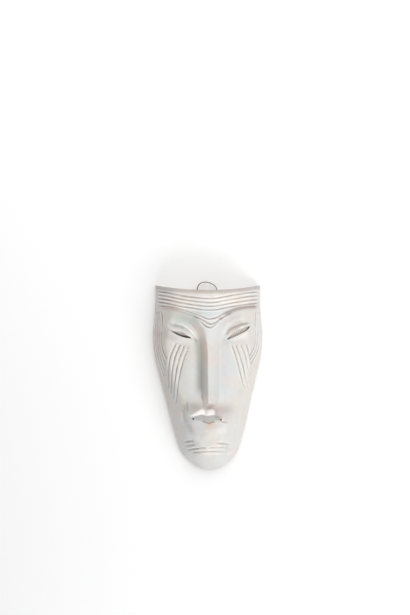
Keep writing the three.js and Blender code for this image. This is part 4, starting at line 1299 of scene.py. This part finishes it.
def colour_glaze(mesh):
    """Gives every point its tint, with painted shade and painted highlights in it, its share of thin glaze
    and how many mm it lies below the face.
    """
    points = mesh_points(mesh)
    place = points[:, :2]
    deep = front(place[:, 0], place[:, 1]) - points[:, 2]
    mesh.attributes.new("tint", "FLOAT_COLOR", "POINT").data.foreach_set("color", glaze_tint_and_painted_light(place).ravel())
    for name, values in (("edge", thin_places(mesh, points)), ("deep", deep)):
        mesh.attributes.new(name, "FLOAT", "POINT").data.foreach_set("value", values)


# The wire loop
def wire_tree():
    """Geometry nodes that give a path a round wire's body of the given radius."""
    tree = bpy.data.node_groups.new("wire_along_path", "GeometryNodeTree")
    tree.interface.new_socket("Geometry", in_out="INPUT", socket_type="NodeSocketGeometry")
    radius = tree.interface.new_socket("Wire Radius", in_out="INPUT", socket_type="NodeSocketFloat")
    material = tree.interface.new_socket("Wire Material", in_out="INPUT", socket_type="NodeSocketMaterial")
    tree.interface.new_socket("Geometry", in_out="OUTPUT", socket_type="NodeSocketGeometry")
    given = tree.nodes.new("NodeGroupInput")
    result = tree.nodes.new("NodeGroupOutput")
    section = tree.nodes.new("GeometryNodeCurvePrimitiveCircle")
    section.inputs["Resolution"].default_value = WIRE_SIDES
    body = tree.nodes.new("GeometryNodeCurveToMesh")
    body.inputs["Fill Caps"].default_value = True
    shade = tree.nodes.new("GeometryNodeSetShadeSmooth")
    real = tree.nodes.new("GeometryNodeRealizeInstances")
    finish = tree.nodes.new("GeometryNodeSetMaterial")
    for start, end in (
        (given.outputs["Geometry"], body.inputs["Curve"]),
        (given.outputs["Wire Radius"], section.inputs["Radius"]),
        (section.outputs["Curve"], body.inputs["Profile Curve"]),
        (body.outputs["Mesh"], shade.inputs["Geometry"]),
        (shade.outputs["Geometry"], real.inputs["Geometry"]),
        (real.outputs["Geometry"], finish.inputs["Geometry"]),
        (given.outputs["Wire Material"], finish.inputs["Material"]),
        (finish.outputs["Geometry"], result.inputs["Geometry"]),
    ):
        tree.links.new(start, end)
    return tree, radius.identifier, material.identifier


def loop_path():
    """The wire's middle line: up inside, out through the top wall, over in a flat arch and back."""
    leg = [
        (LOOP_LEG_END_Y, LOOP_Z + LOOP_TURN_UP),
        (LOOP_LEG_END_Y, LOOP_Z + LOOP_BEND),
        (LOOP_LEG_END_Y + LOOP_BEND_MIDDLE, LOOP_Z + LOOP_BEND_MIDDLE),
        (LOOP_LEG_END_Y + LOOP_BEND, LOOP_Z),
        (TOP_Y - WALL / 2, LOOP_Z),
        (TOP_Y, LOOP_Z),
    ]
    left, right = ([(x, y, z) for y, z in leg] for x in LOOP_LEGS)
    arch_points = [(x, y, LOOP_Z) for x, y in LOOP_ARCH]
    return smooth_line(left + arch_points + right[::-1], LOOP_SPACING)


def make_wire_loop():
    points = loop_path()
    curve = bpy.data.curves.new("loop_path", "CURVE")
    curve.dimensions = "3D"
    spline = curve.splines.new("POLY")
    spline.points.add(len(points) - 1)
    spline.points.foreach_set("co", np.column_stack([points * MM, np.ones(len(points))]).ravel())
    path = new_object("loop_path", curve)
    tree, radius, material = wire_tree()
    modifier = path.modifiers.new("wire", "NODES")
    modifier.node_group = tree
    modifier[radius] = WIRE_RADIUS * MM
    modifier[material] = wire_material()
    graph = bpy.context.evaluated_depsgraph_get()
    mesh = bpy.data.meshes.new_from_object(path.evaluated_get(graph), depsgraph=graph)
    bpy.data.objects.remove(path)
    return smooth_object("wire_loop", mesh)


def wire_material():
    """Kiln-proof wire, darkened by the firing, with brighter rubbed places."""
    nodes = Nodes("fired_wire")
    scale = nodes.noise(2.2, 4, seed=51.0)
    body = nodes.mix(nodes.spread(scale, 0.35, 0.65), colour(0.25, 0.215, 0.185), colour(0.38, 0.35, 0.32))
    return nodes.finish(
        base_color=body,
        metallic=0.85,
        roughness=nodes.spread(scale, 0.3, 0.7, 0.62, 0.42),
        normal=nodes.bump(nodes.noise(0.5, 3, seed=53.0), 0.4, 0.04),
    )


make_camera()
mask = make_mask()
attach(mask, "root")
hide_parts("mask_body")
wire = make_wire_loop()
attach(wire, "root")
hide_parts("hanging_loop")
make_floor()
make_lights()
